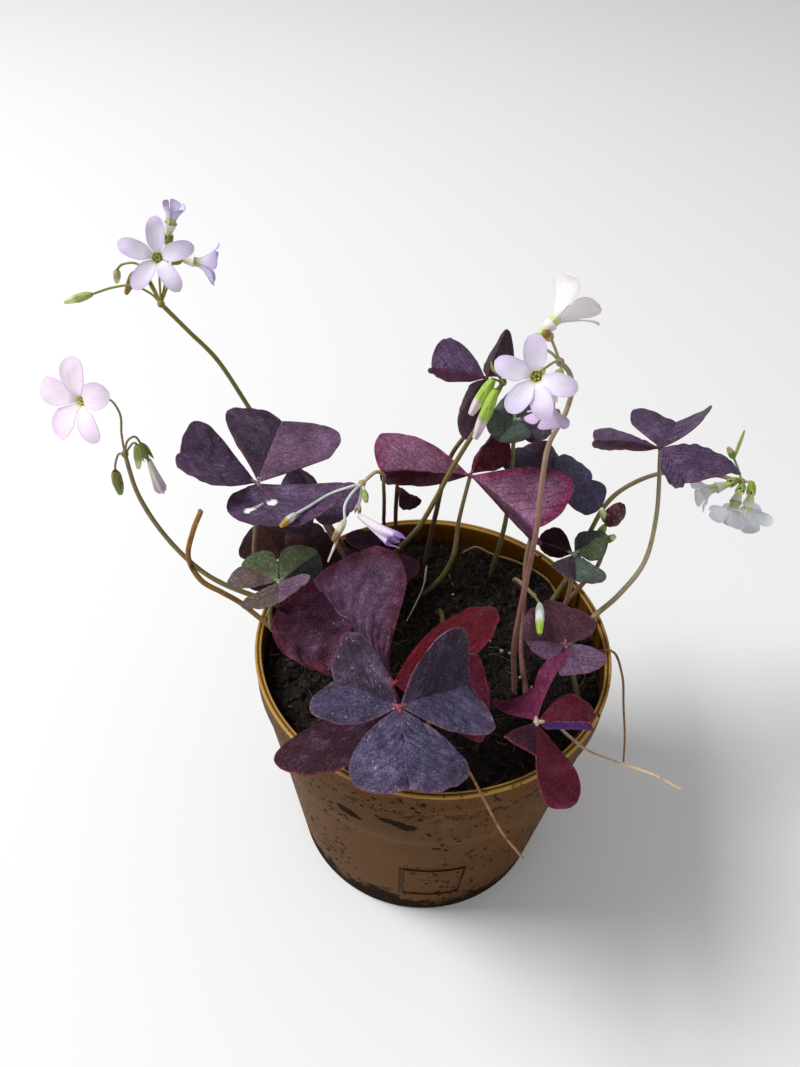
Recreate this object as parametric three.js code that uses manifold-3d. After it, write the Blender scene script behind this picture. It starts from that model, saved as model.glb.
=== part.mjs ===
// Purple shamrock (Oxalis triangularis) growing in a round plastic nursery pot.
// Millimetres, +Z up. The origin is the middle of the pot's underside, -Y is the plant's front.
import * as THREE from 'three';
import { mergeVertices } from 'three/addons/utils/BufferGeometryUtils.js';
import Module from 'manifold-3d';

const wasm = await Module();
wasm.setup();

// ---------- driving dimensions ----------
const GAP = 0.3;                       // air between neighbouring solids
const HOLE_SLACK = 0.4;                // air round a stem's foot in the soil
const FINEST = 0.03;                   // shortest edge that a joint between pieces leaves

const POT = {
  rimRadius: 65,
  height: 110,
  baseRadius: 51.5,
  lip: 2.6,                            // width of the flat rim
  wall: 1.6,
  floor: 2.2,
  collarDrop: 11.5,                    // from the rim to the ledge under the collar
  collarStep: 1.1,
  bandDrop: 38,                        // from the rim to the faint moulding line
  bandStep: 0.4,
  groove: 0.5,                         // depth of the groove along the rim
  sides: 36,
};
const DRAIN = { count: 8, radius: 4.2, ring: 40, sides: 6 };
const SOIL = { level: 100, bump: 0.8, rings: 3 };

const LEAFLET = {
  halfAngle: 53,                       // from the midrib to the side edge, in degrees
  shape: [0.14, 0.5, 0.48, 3.6, 0.97], // outline of a half, see reach, and its share of halfAngle
  crease: 0.8,                         // softness of the fold along the midrib
  sag: 14,                             // how far the midrib bends down, in degrees
  wave: 0.022,                         // height of the waves along the edge
  thickness: 0.7,
  root: 0.12,                          // thickness at the knot, as a share
  rows: 2,
  columns: 6,
  start: 1.2,                          // where a leaflet begins, inside the knot
};
const BEAD = 1.7;                      // the knot where three leaflets meet
const STALK = { radius: [1.25, 0.8], sides: 5 };
const SCAPE = { radius: [1.25, 0.95], knot: 1.5 };
const PEDICEL = { radius: 0.55, sides: 3 };
const CALYX = { sides: 5, steps: 2, sunk: 0.5 };
const ROOTED = 5;                      // how deep each stem stands in the soil

const PETAL = {
  thickness: 0.65,
  rows: 3,
  columns: 2,
  bend: 3.2,                           // radius of the turn from the throat to the limb
  ring: 1.4,                           // how far from the axis a petal leaves the throat
  sunk: 1.6,                           // length of a petal inside the throat
  fan: 0.7,                            // half width allowed for each millimetre from the axis
  heart: 0.4,                          // radius where neighbouring petals would meet
  tipAt: 0.7,                          // where along the petal its tip begins to narrow
  droop: 0.22,
};
const THROAT = { length: 5, base: 0.9, mouth: 2.2, sides: 6 };
const FURLED = { sides: 7, steps: 5 }; // a corolla that is still, or again, closed

// ---------- materials ----------
const finish = (color, roughness) =>
  new THREE.MeshStandardMaterial({ color, roughness, metalness: 0, flatShading: true });
const PAINT = {
  pot: finish('#8a6a34', 0.55),
  soil: finish('#2a1f18', 0.95),
  slate: finish('#5c5468', 0.5),
  plum: finish('#4f2a3c', 0.5),
  red: finish('#7a1f38', 0.5),
  green: finish('#6c7560', 0.5),
  stalk: finish('#8a7a4c', 0.6),
  scape: finish('#7d7a3a', 0.6),
  petal: finish('#e8dcf2', 0.6),
  dry: finish('#9a7444', 0.85),
};

// ---------- small helpers ----------
const radians = THREE.MathUtils.degToRad;
const point = ([x, y, z]) => new THREE.Vector3(x, y, z);
const lerp = THREE.MathUtils.lerp;

function toManifold(geometry) {
  const bare = geometry.clone();
  for (const key of Object.keys(bare.attributes)) {
    if (key !== 'position') bare.deleteAttribute(key);
  }
  const merged = mergeVertices(bare, 1e-4);
  return new wasm.Manifold(new wasm.Mesh({
    numProp: 3,
    vertProperties: new Float32Array(merged.attributes.position.array),
    triVerts: new Uint32Array(merged.index.array),
  }));
}

function toGeometry(solid) {
  const mesh = solid.getMesh();
  const geometry = new THREE.BufferGeometry();
  geometry.setAttribute('position', new THREE.BufferAttribute(mesh.vertProperties, 3));
  geometry.setIndex(new THREE.BufferAttribute(mesh.triVerts, 1));
  return geometry;
}

// Joins closed pieces into one solid. A hollow closed in by them is filled, and edges too short
// to matter are closed up.
function fuse(pieces) {
  const whole = pieces.map(toManifold).reduce((sum, piece) => sum.add(piece));
  return whole.simplify(FINEST).decompose().sort((a, b) => b.volume() - a.volume())[0];
}

// A closed mesh from points and triangles, turned so that its faces point out.
function closedMesh(points, triangles) {
  const a = new THREE.Vector3();
  let volume = 0;
  for (const [i, j, k] of triangles) {
    volume += a.copy(points[i]).cross(points[j]).dot(points[k]);
  }
  const outward = volume > 0 ? triangles : triangles.map(([i, j, k]) => [i, k, j]);
  const geometry = new THREE.BufferGeometry().setFromPoints(points);
  geometry.setIndex(outward.flat());
  return geometry;
}

// A thin closed sheet: surface(u, v) for u and v from 0 to 1, given a thickness, with both faces
// split into the same triangles. It starts as thin as the share root says.
function sheet(surface, rows, columns, thickness, root = 1) {
  const grid = [];
  for (let i = 0; i <= rows; i++) {
    grid.push([]);
    for (let j = 0; j <= columns; j++) grid[i].push(surface(i / rows, j / columns));
  }
  const across = new THREE.Vector3();
  const normalAt = (i, j) => {
    const along = grid[Math.min(i + 1, rows)][j].clone().sub(grid[Math.max(i - 1, 0)][j]);
    across.copy(grid[i][Math.min(j + 1, columns)]).sub(grid[i][Math.max(j - 1, 0)]);
    return along.cross(across).normalize();
  };
  const points = [];
  for (const side of [0.5, -0.5]) {
    for (let i = 0; i <= rows; i++) {
      for (let j = 0; j <= columns; j++) {
        const share = i === 0 ? root : 1;
        points.push(grid[i][j].clone().addScaledVector(normalAt(i, j), side * share * thickness));
      }
    }
  }
  const under = (rows + 1) * (columns + 1);
  const at = (i, j) => i * (columns + 1) + j;
  const triangles = [];
  for (let i = 0; i < rows; i++) {
    for (let j = 0; j < columns; j++) {
      const corner = [at(i, j), at(i, j + 1), at(i + 1, j + 1), at(i + 1, j)];
      const halves = j < columns / 2 ? [[0, 1, 2], [0, 2, 3]] : [[0, 1, 3], [1, 2, 3]];
      for (const half of halves) {
        const top = half.map((n) => corner[n]);
        triangles.push(top, top.map((n) => n + under).reverse());
      }
    }
  }
  const rim = [];
  for (let j = 0; j < columns; j++) rim.push([at(0, j + 1), at(0, j)]);
  for (let i = 0; i < rows; i++) rim.push([at(i, 0), at(i + 1, 0)]);
  for (let j = 0; j < columns; j++) rim.push([at(rows, j), at(rows, j + 1)]);
  for (let i = rows; i > 0; i--) rim.push([at(i, columns), at(i - 1, columns)]);
  for (const [m, n] of rim) triangles.push([m, n, m + under], [n, n + under, m + under]);
  return closedMesh(points, triangles);
}

// A round tapering rod along a smooth curve through the given points.
function rod(points, radiusAt, sides, steps) {
  const curve = new THREE.CatmullRomCurve3(points, false, 'centripetal');
  const frames = curve.computeFrenetFrames(steps, false);
  const ring = [];
  for (let i = 0; i <= steps; i++) {
    const centre = curve.getPointAt(i / steps);
    const radius = radiusAt(i / steps);
    for (let k = 0; k < sides; k++) {
      const turn = (2 * Math.PI * k) / sides;
      ring.push(centre.clone()
        .addScaledVector(frames.normals[i], radius * Math.cos(turn))
        .addScaledVector(frames.binormals[i], radius * Math.sin(turn)));
    }
  }
  const first = ring.length;
  ring.push(curve.getPointAt(0), curve.getPointAt(1));
  const triangles = [];
  for (let i = 0; i < steps; i++) {
    for (let k = 0; k < sides; k++) {
      const next = (k + 1) % sides;
      const [a, b, c, d] = [i * sides + k, i * sides + next, (i + 1) * sides + next, (i + 1) * sides + k];
      triangles.push([a, b, c], [a, c, d]);
    }
  }
  for (let k = 0; k < sides; k++) {
    const next = (k + 1) % sides;
    triangles.push([first, next, k]);
    triangles.push([first + 1, steps * sides + k, steps * sides + next]);
  }
  return closedMesh(ring, triangles);
}

const bead = (centre, radius) =>
  new THREE.SphereGeometry(radius, 6, 3).translate(centre.x, centre.y, centre.z);

// ---------- leaves ----------
// How far a half of a leaflet reaches, from 0 at the midrib to 1 at the side edge. Its shape is how far
// the lobe reaches past the notch, where across the half it peaks, the length of the side edge against
// it, and how sharply it turns into that edge.
function reach(across, [notch, lobeAt, sideReach, corner]) {
  if (across < lobeAt) {
    return 1 + notch * Math.sin((Math.PI / 2) * (across / lobeAt) ** 0.8);
  }
  const past = (across - lobeAt) / (1 - lobeAt);
  return (1 + notch) * (1 - (1 - sideReach) * past ** corner);
}

// Where a half lies after its fold and curl: how far out sideways, and how far down.
function foldedHalf(side, fold, curl) {
  if (Math.abs(curl) < 1e-4) return [side * Math.cos(fold), side * Math.sin(fold)];
  return [
    (Math.sin(fold + curl * side) - Math.sin(fold)) / curl,
    (Math.cos(fold) - Math.cos(fold + curl * side)) / curl,
  ];
}

// A leaflet: its compass direction (turn) and climb (rise), and how far its right and left halves
// fold down from the midrib.
function leafletSurface(hub, part, index) {
  const up = new THREE.Vector3(0, 0, 1);
  const turn = radians(part.turn);
  const outward = new THREE.Vector3(Math.cos(turn), Math.sin(turn), 0);
  const sag = radians(LEAFLET.sag);
  const rise = radians(part.rise) + sag / 2;
  const along = outward.clone().multiplyScalar(Math.cos(rise)).addScaledVector(up, Math.sin(rise));
  const above = up.clone().multiplyScalar(Math.cos(rise)).addScaledVector(outward, -Math.sin(rise));
  const right = along.clone().cross(above);
  const bend = sag / part.long;
  return (u, v) => {
    const across = Math.sign(2 * v - 1) * Math.abs(2 * v - 1) ** 0.7;
    const [fold, curl, shape] = across > 0
      ? [radians(part.right), radians(part.rightCurl ?? 0), part.rightShape ?? LEAFLET.shape]
      : [radians(part.left), radians(part.leftCurl ?? 0), part.leftShape ?? LEAFLET.shape];
    const wide = radians(LEAFLET.halfAngle * shape.at(4));
    const length = lerp(LEAFLET.start, part.long, u) * (u > 0 ? reach(Math.abs(across), shape) : 1);
    const down = length * Math.cos(wide * across);
    const offset = Math.abs(length * Math.sin(wide * across));
    const side = Math.hypot(offset, LEAFLET.crease) - LEAFLET.crease;
    const [out, drop] = foldedHalf(side, fold, curl / (0.65 * part.long));
    const ripple = LEAFLET.wave * part.long * u * u * Math.sin(4 * across + 2.1 * index);
    const local = above.clone().multiplyScalar(Math.cos(bend * down))
      .addScaledVector(along, Math.sin(bend * down));
    return hub.clone()
      .addScaledVector(along, Math.sin(bend * down) / bend)
      .addScaledVector(above, (Math.cos(bend * down) - 1) / bend)
      .addScaledVector(right, Math.sign(across) * out)
      .addScaledVector(local, ripple - drop);
  };
}

function blade(leaf, index) {
  const hub = point(leaf.stalk.at(-1));
  const leaflets = leaf.leaflets.map((part, n) =>
    sheet(leafletSurface(hub, part, index + n), LEAFLET.rows, LEAFLET.columns, LEAFLET.thickness,
      LEAFLET.root));
  return toGeometry(fuse([bead(hub, BEAD), ...leaflets]));
}

// A stem's path, lengthened down into the soil and stopped short of what it carries.
function stemPath(points, stopShort) {
  const path = points.map(point);
  const start = path[1].clone().sub(path[0]).normalize();
  start.z = Math.max(start.z, 0.9);
  path.unshift(path[0].clone().addScaledVector(start.normalize(), -ROOTED));
  const last = path.length - 1;
  const end = path[last].clone().sub(path[last - 1]).normalize();
  path[last].addScaledVector(end, -stopShort);
  return path;
}

const stemSteps = (path) => Math.ceil(1.2 * (path.length - 1));

const LEAVES = [
  {
    name: 'leaf_west_high', paint: 'slate',
    stalk: [[-48, 16, 101], [-54, 17, 108], [-61, 18, 114], [-67, 20, 126], [-66, 24, 144], [-65, 27, 158]],
    leaflets: [
      { turn: 199, rise: 37, right: -4, left: -7, rightCurl: -28, leftCurl: -12, long: 31.2,
        rightShape: [0, 0.5, 0.66, 3.4, 0.87], leftShape: [0.14, 0.57, 0.64, 4.8, 0.84] },
      { turn: 84, rise: -2, right: 2, left: -24, rightCurl: -12, leftCurl: 25, long: 37.3,
        rightShape: [0.14, 0.57, 0.68, 1.5, 1.05], leftShape: [0.13, 0.61, 0.47, 5, 0.74] },
      { turn: 295, rise: 13, right: -17, left: 7, rightCurl: 23, leftCurl: -20, long: 32.9,
        rightShape: [0, 0.42, 0.5, 2.1, 0.92], leftShape: [0.12, 0.7, 0.56, 5.8, 1.02] },
    ],
  },
  {
    name: 'leaf_west_low', paint: 'plum',
    stalk: [[-42, 14, 101], [-48, 20, 112], [-58, 23, 124]],
    leaflets: [
      { turn: 117, rise: 0, right: 20, left: 39, long: 23 },
      { turn: 52, rise: -3, right: 40, left: 11, long: 24 },
      { turn: 262, rise: 0, right: 8, left: 8, long: 16 },
    ],
  },
  {
    name: 'leaf_west_back', paint: 'slate',
    stalk: [[-30, 20, 101], [-33, 25, 120], [-42, 29, 138], [-46, 33, 146]],
    leaflets: [
      { turn: 120, rise: 14, right: 50, left: 50, long: 17 },
      { turn: 325, rise: 10, right: -2, left: -30, long: 17 },
      { turn: 225, rise: -12, right: 20, left: 20, long: 15 },
    ],
  },
  {
    name: 'leaf_west_green', paint: 'green',
    stalk: [[-50, 0, 101], [-57, -4, 113], [-58, -6, 128], [-54, -5, 142]],
    leaflets: [
      { turn: 149, rise: -9, right: 0, left: 1, long: 17 },
      { turn: 53, rise: -3, right: 70, left: 12, long: 19 },
      { turn: 277, rise: 26, right: 14, left: -29, long: 19 },
    ],
  },
  {
    name: 'leaf_front_slate', paint: 'slate',
    stalk: [[2, 20, 101], [3, 17, 106], [4, 0, 109], [2, -25, 112], [-4, -48, 118], [-7, -60, 134], [-10, -65, 148],
      [-12, -64, 156]],
    leaflets: [
      { turn: 152, rise: -10, right: -48, left: -2, rightCurl: -9, leftCurl: -26, long: 21.8,
        rightShape: [0.18, 0.59, 0.44, 4.4, 1.01], leftShape: [0.17, 0.48, 0.54, 3.9, 1.23] },
      { turn: 37, rise: -18, right: 24, left: -37, rightCurl: -30, leftCurl: -44, long: 27.9,
        rightShape: [0.12, 0.53, 0.54, 2.6, 0.98], leftShape: [0.1, 0.55, 0.35, 4.2, 0.95] },
      { turn: 277, rise: 0, right: -14, left: 3, rightCurl: 45, leftCurl: 24, long: 26.5,
        rightShape: [0.12, 0.42, 0.28, 3.3, 1.01], leftShape: [0.12, 0.62, 0.47, 4.5, 0.99] },
    ],
  },
  {
    name: 'leaf_front_big', paint: 'plum',
    stalk: [[-20, 24, 101], [-20, 21, 106], [-20, 8, 109], [-18, -15, 114], [-14, -34, 127]],
    leaflets: [
      { turn: 139, rise: 31, right: 51, left: 49, rightCurl: -109, long: 42.4,
        rightShape: [0.17, 0.72, 0.78, 4.3, 0.99], leftShape: [0.15, 0.54, 0.45, 2, 0.98] },
      { turn: 352, rise: 40, right: 39, left: -11, rightCurl: 18, leftCurl: 38, long: 33.9,
        rightShape: [0.15, 0.81, 0.46, 4.1, 1], leftShape: [0.27, 0.5, 0.64, 3.6, 1.08] },
      { turn: 260, rise: 22, right: 30, left: -15, rightCurl: -8, long: 43.6,
        rightShape: [0.14, 0.6, 0.71, 4, 1.01], leftShape: [0.05, 0.5, 0.5, 4, 0.42] },
    ],
  },
  {
    name: 'leaf_front_red', paint: 'red',
    stalk: [[38, -36, 101], [36, -44, 114], [31, -54, 129], [29, -57, 142]],
    leaflets: [
      { turn: 85, rise: -20, right: -71, left: 78, rightCurl: 31, leftCurl: -56, long: 16.5,
        rightShape: [0.79, 0.92, 0.74, 3.9, 0.71], leftShape: [0.89, 0.79, 0.73, 3.8, 0.74] },
      { turn: 3, rise: -2, right: 60, left: 14, rightCurl: 150, long: 14.8,
        rightShape: [0.4, 0.5, 0.5, 4, 1], leftShape: [0.41, 0.45, 0.51, 3.9, 1.09] },
      { turn: 263, rise: 16, right: -14, left: 32, rightCurl: 24, leftCurl: -7, long: 14.8,
        rightShape: [0, 0.94, 0.55, 4.3, 0.89], leftShape: [1.1, 0.25, 0.45, 2.8, 0.99] },
    ],
  },
  {
    name: 'leaf_east_brown', paint: 'plum',
    stalk: [[53, -20, 101], [50, -17, 110], [45, -11, 123]],
    leaflets: [
      { turn: 76, rise: -5, right: 15, left: -10, rightCurl: -8, leftCurl: -29, long: 18.5,
        rightShape: [0.16, 0.45, 0.42, 2, 0.95], leftShape: [0.09, 0.47, 0.42, 3.5, 0.99] },
      { turn: 199, rise: 26, right: -31, left: -9, leftCurl: 6, long: 17.5,
        rightShape: [0.1, 0.51, 0.5, 4, 1], leftShape: [0.09, 0.49, 0.47, 3.2, 0.93] },
      { turn: 285, rise: 13, right: 6, left: -22, leftCurl: 27, long: 16.4,
        rightShape: [0.03, 0.69, 0.44, 5.2, 0.66], leftShape: [0.09, 0.5, 0.46, 3.8, 0.99] },
    ],
  },
  {
    name: 'leaf_east_green', paint: 'green',
    stalk: [[48, 17, 101], [50, 17, 118], [49, 19, 138]],
    leaflets: [
      { turn: 148, rise: -5, right: -2, left: 104, rightCurl: -7, long: 13.5,
        rightShape: [0.18, 0.5, 0.48, 3.9, 0.97], leftShape: [0.14, 0.5, 0.5, 4, 1] },
      { turn: 37, rise: 6, right: 75, left: 27, long: 16 },
      { turn: 266, rise: 9, right: -16, left: 6, leftCurl: -9, long: 16.3,
        rightShape: [0, 0.55, 0.93, 4.9, 0.8], leftShape: [0.11, 0.5, 0.65, 3.9, 0.99] },
    ],
  },
  {
    name: 'leaf_far_east', paint: 'slate',
    stalk: [[53, 8, 101], [60, 12, 112.5], [69, 19, 117], [78, 27, 127], [80, 34, 144], [77, 42, 170]],
    leaflets: [
      { turn: 178, rise: 4, right: 19, left: -14, leftCurl: -24, long: 23.8,
        rightShape: [0.06, 0.54, 0.45, 3.8, 0.94], leftShape: [0.13, 0.54, 0.7, 4, 0.88] },
      { turn: 64, rise: -12, right: -34, left: -1, rightCurl: -30, leftCurl: -14, long: 25,
        rightShape: [0.19, 0.4, 0.55, 1.5, 1.28], leftShape: [0.19, 0.47, 0.57, 1.5, 1.1] },
      { turn: 273, rise: 15, right: 3, left: -32, leftCurl: 56, long: 28,
        rightShape: [0.17, 0.47, 0.41, 1.7, 0.39], leftShape: [0.18, 0.57, 0.6, 3.4, 1.13] },
    ],
  },
  {
    name: 'leaf_north_red', paint: 'red',
    stalk: [[-3, 31, 101], [3, 33, 108], [7, 34, 120], [8, 38, 134], [11, 44, 152]],
    leaflets: [
      { turn: 192, rise: 9, right: -26, left: 115, rightCurl: 31, leftCurl: 26, long: 34.6,
        rightShape: [0.1, 0.67, 0.46, 1.5, 0.86], leftShape: [0.02, 0.48, 0.57, 4, 1.11] },
      { turn: 309, rise: 0, right: 116, left: -17, long: 34.5 },
      { turn: 64, rise: 13, right: 53, left: 63, long: 24, rightShape: [0.14, 0.5, 0.48, 3.6, 0.8], leftShape: [0.14, 0.5, 0.48, 3.6, 0.8] },
    ],
  },
  {
    name: 'leaf_north_tall', paint: 'plum',
    stalk: [[-3, 50, 101], [0, 53, 125], [4, 57, 150], [12, 61, 163], [16, 61, 176], [14, 57, 186]],
    leaflets: [
      { turn: 183, rise: 12, right: -41, left: -14, rightCurl: 49, long: 20.2,
        rightShape: [0.05, 0.55, 0.97, 4.1, 1.04], leftShape: [0.15, 0.46, 0.5, 4.2, 0.99] },
      { turn: 71, rise: 19, right: 72, left: 68, long: 24 },
      { turn: 182, rise: -68, right: 6, left: 12, long: 21 },
    ],
  },
  {
    name: 'leaf_north_green', paint: 'green',
    stalk: [[24, 44, 101], [27, 47, 125], [27, 50, 148], [26, 55, 170]],
    leaflets: [
      { turn: 87, rise: 6, right: 27, left: 53, long: 18 },
      { turn: 246, rise: 4, right: -50, left: -20, long: 17 },
      { turn: 327, rise: 10, right: 14, left: -11, long: 15 },
    ],
  },
  {
    name: 'leaf_north_blue', paint: 'slate',
    stalk: [[34, -15, 101], [32, -4, 110], [33, 12, 119], [34, 28, 124], [38, 44, 131], [42, 57, 142]],
    leaflets: [
      { turn: 149, rise: 8, right: 5, left: -13, long: 17 },
      { turn: 85, rise: 9, right: 55, left: 30, long: 20 },
      { turn: 18, rise: -14, right: 42, left: -3, rightCurl: 3, leftCurl: 10, long: 20.7,
        rightShape: [0.42, 0.2, 0.49, 3.6, 0.96], leftShape: [0.2, 0.48, 0.54, 4.1, 1.04] },
    ],
  },
  {
    name: 'leaf_northwest_dark', paint: 'plum',
    stalk: [[-34, 30, 101], [-33, 34, 108], [-27, 36, 116]],
    leaflets: [
      { turn: 95, rise: 4, right: 12, left: 12, long: 13 },
      { turn: 195, rise: -2, right: 12, left: 12, long: 9 },
      { turn: 325, rise: -4, right: 12, left: 12, long: 20 },
    ],
  },
];

// ---------- flower stems, buds and blooms ----------
// A bud or a calyx: blunt at its foot, pointed at its tip.
const spindle = (from, to, radius, { sides, steps }) =>
  rod([from, from.clone().lerp(to, 0.5), to],
    (t) => radius * Math.sin(Math.PI * (0.12 + 0.8 * t)) ** 0.7, sides, steps);

// A scape with its knot of pedicels, and a calyx or bud round the end of each.
function umbel(scape, head) {
  const hub = point(head.scape.at(-1));
  const pieces = [scape, bead(hub, head.knot ?? SCAPE.knot)];
  for (const pedicel of head.pedicels) {
    const way = [hub, ...pedicel.way.map(point)];
    pieces.push(rod(way, () => PEDICEL.radius, PEDICEL.sides, way.length));
    for (const [tip, size] of pedicel.swellings) {
      const end = point(tip);
      const foot = way.at(-1).clone().addScaledVector(end.clone().sub(way.at(-1)).normalize(), -CALYX.sunk);
      pieces.push(spindle(foot, end, size, CALYX));
    }
  }
  return toGeometry(fuse(pieces));
}

// One petal: out of the throat, round a bend and along the limb. It opens away from the axis.
function petalSurface({ mouth, axis, out, across, open, long, width, twist }) {
  const { bend, ring, sunk, fan, heart, tipAt } = PETAL;
  const angle = radians(open);
  const limb = long - sunk - bend * angle;
  const pathAt = (s) => {
    const turned = THREE.MathUtils.clamp((s - sunk) / bend, 0, angle);
    const straight = Math.max(s - sunk - bend * angle, 0);
    const droop = PETAL.droop * (straight / limb) ** 2 * straight;
    return [
      ring + bend * (1 - Math.cos(turned)) + straight * Math.sin(angle),
      Math.min(s - sunk, 0) + bend * Math.sin(turned) + straight * Math.cos(angle) - droop,
    ];
  };
  return (u, v) => {
    const [far, high] = pathAt(u * long);
    const past = Math.max(u - tipAt, 0) / (1 - tipAt);
    const side = (2 * v - 1) * Math.min(width / 2, fan * (far - heart)) * Math.sqrt(1 - 0.75 * past ** 2);
    return mouth.clone()
      .addScaledVector(out, far)
      .addScaledVector(axis, high + u * side * Math.tan(radians(twist)))
      .addScaledVector(across, side);
  };
}

// A corolla on top of its calyx. One that is still closed is a spindle.
function bloom({ base, axis, open, long, width = 6.5, turns = [90, 162, 234, 306, 18], twist = 8 }) {
  const up = point(axis).normalize();
  const foot = point(base).addScaledVector(up, GAP);
  if (!open) {
    return spindle(foot, foot.clone().addScaledVector(up, long), width / 2, FURLED);
  }
  const flat = new THREE.Vector3(1, 0, 0).addScaledVector(up, -up.x).normalize();
  const other = up.clone().cross(flat);
  const mouth = foot.clone().addScaledVector(up, THROAT.length);
  const pieces = [rod([foot, mouth], (t) => lerp(THROAT.base, THROAT.mouth, t), THROAT.sides, 1)];
  for (const turn of turns) {
    const angle = radians(turn);
    const out = flat.clone().multiplyScalar(Math.cos(angle)).addScaledVector(other, Math.sin(angle));
    const across = up.clone().cross(out);
    const limb = { mouth, axis: up, out, across, open, long: long - THROAT.length + PETAL.sunk, width, twist };
    pieces.push(sheet(petalSurface(limb), PETAL.rows, PETAL.columns, PETAL.thickness));
  }
  return toGeometry(fuse(pieces));
}

const UMBELS = [
  {
    name: 'umbel_west_tall',
    scape: [[-30, 40, 101], [-41, 49, 116], [-55, 57, 132], [-74, 71, 157], [-85, 71, 180],
      [-93, 68, 193], [-101, 67, 204]],
    pedicels: [
      { way: [[-101, 70, 212], [-99, 68, 220]], swellings: [[[-98, 65, 222], 1.7]] },
      { way: [[-99, 73, 213], [-98, 76, 221]], swellings: [[[-97.5, 77, 225], 1.7]] },
      { way: [[-98, 72, 211], [-98, 78, 214]], swellings: [[[-96, 81, 214], 1.6]] },
      { way: [[-104, 68, 207], [-110, 68, 210], [-117, 68, 209], [-125, 68, 206]],
        swellings: [[[-135, 67, 203], 1.5]] },
      { way: [[-104, 69, 209], [-106, 70, 213], [-110, 72, 213]], swellings: [[[-114, 71, 205], 1.4]] },
      { way: [[-104, 70, 210], [-109, 74, 215], [-115, 75, 214], [-117, 75, 212]],
        swellings: [[[-118, 75, 207], 1.3]] },
    ],
  },
  {
    name: 'umbel_west_low',
    scape: [[-54, 13, 101], [-60, 12, 112], [-66, 12, 115], [-79, 14, 119.5], [-87, 16, 124],
      [-95, 19, 131], [-103, 23, 141], [-109, 28, 151], [-113, 35, 162]],
    pedicels: [
      { way: [[-113, 36, 170], [-112, 36, 179], [-115, 38, 183], [-118, 37, 184]],
        swellings: [[[-118.5, 34, 186], 1.7]] },
      { way: [[-115, 35, 162], [-117, 35, 158], [-118, 35, 154]], swellings: [[[-118, 35, 143], 1.9]] },
      { way: [[-111, 35, 168], [-108, 35, 170], [-106.5, 35, 167]], swellings: [[[-104.5, 34, 161], 2]] },
      { way: [[-110, 38, 165], [-109, 38, 164]], swellings: [[[-110, 37, 154], 1.5]] },
    ],
  },
  {
    name: 'umbel_north_buds',
    scape: [[-20, 45, 101], [-13, 42, 116], [-7, 38, 130], [-2, 36, 145], [3, 36, 160], [8, 35, 174],
      [14, 36, 188], [18, 40, 196]],
    pedicels: [
      { way: [[14.5, 38, 198.5]], swellings: [[[8, 35, 186], 2]] },
      { way: [[15.5, 35, 196.5]], swellings: [[[10, 31, 179], 2]] },
      { way: [[15.5, 41, 199]], swellings: [[[14.5, 41, 203], 1.5]] },
      { way: [[19, 38, 200]], swellings: [[[20, 37, 203], 1.4]] },
    ],
  },
  {
    name: 'umbel_middle_tall',
    scape: [[30, -14, 101], [28, -10, 118], [28, -8, 130], [29, -4, 148], [30, 0, 168], [30, 5, 182],
      [31, 10, 194], [35, 14, 203], [36, 16, 211], [34, 16, 217], [31, 16, 220]],
    pedicels: [
      { way: [[29, 13, 222], [24.5, 8, 222]], swellings: [[[23.5, 5, 223], 1.7]] },
      { way: [[31, 12, 220]], swellings: [[[29, 8, 218], 1.7]] },
      { way: [[28, 17, 222.5], [24, 18, 224]], swellings: [[[24.5, 20, 226.5], 1.7]] },
      { way: [[29, 17, 224], [27.5, 17, 227]], swellings: [[[25, 16, 230], 1.5]] },
    ],
  },
  {
    name: 'umbel_far_east',
    scape: [[46, 27, 101], [54, 34, 116], [59, 41, 128], [65, 48, 138], [72, 53, 142], [84, 56, 147],
      [98, 52, 152], [109, 40, 158]],
    pedicels: [
      { way: [[107, 39, 160]], swellings: [[[103, 37, 159], 1.7]] },
      { way: [[108, 36, 160]], swellings: [[[106, 33, 159], 1.7]] },
      { way: [[111.5, 38, 160]], swellings: [[[112, 36, 155.5], 1.7]] },
      { way: [[107, 42, 162], [104, 42, 167]], swellings: [[[101, 43, 171], 1.2], [[105, 44, 178], 0.6]] },
    ],
  },
  {
    name: 'umbel_east_young',
    scape: [[50, 25, 101], [57, 27, 114], [62, 29, 124], [63, 32, 130]],
    pedicels: [
      { way: [[61, 34.5, 133]], swellings: [[[62, 34, 139], 1.5]] },
      { way: [[64, 34, 131]], swellings: [[[67, 34, 134], 1.4]] },
      { way: [[62, 34, 135], [63, 34, 140]], swellings: [[[66, 33, 150], 3.4], [[59, 33, 148], 1.5]] },
    ],
  },
  {
    name: 'umbel_nodding',
    scape: [[36, 35, 101], [31, 27, 114], [30, 14, 128], [33.9, 1.5, 134]],
    pedicels: [
      { way: [[35.2, -3.5, 135.5]], swellings: [[[34.6, -15.6, 133.5], 1.8]] },
    ],
    radius: [0.9, 0.7], knot: 1,
  },
  {
    name: 'umbel_dried',
    scape: [[-18, 53, 101], [-20.6, 51, 119], [-20.6, 45.5, 130], [-20.5, 37, 145], [-20.6, 29, 158],
      [-20.7, 23, 168], [-23, 20.5, 171], [-27.5, 16.5, 169]],
    pedicels: [
      { way: [[-32.1, 14.8, 168.4], [-38, 13.2, 166.6], [-44.7, 6.8, 166], [-48.3, 2.8, 166.3]],
        swellings: [[[-52.1, -4.6, 167.7], 1.5]] },
      { way: [[-30.4, 11, 169.4], [-32.5, 6, 167.9], [-32.2, 3, 164.5]],
        swellings: [[[-35.6, -4, 161.5], 1.3]] },
      { way: [[-26.6, 14, 168.2]], swellings: [[[-25.6, 10.5, 166], 1.1]] },
      { way: [[-27.6, 13, 167], [-28.1, 10, 165.6]], swellings: [[[-28.4, 7.4, 164], 1.2]] },
    ],
    radius: [0.8, 0.7],
  },
];

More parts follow.
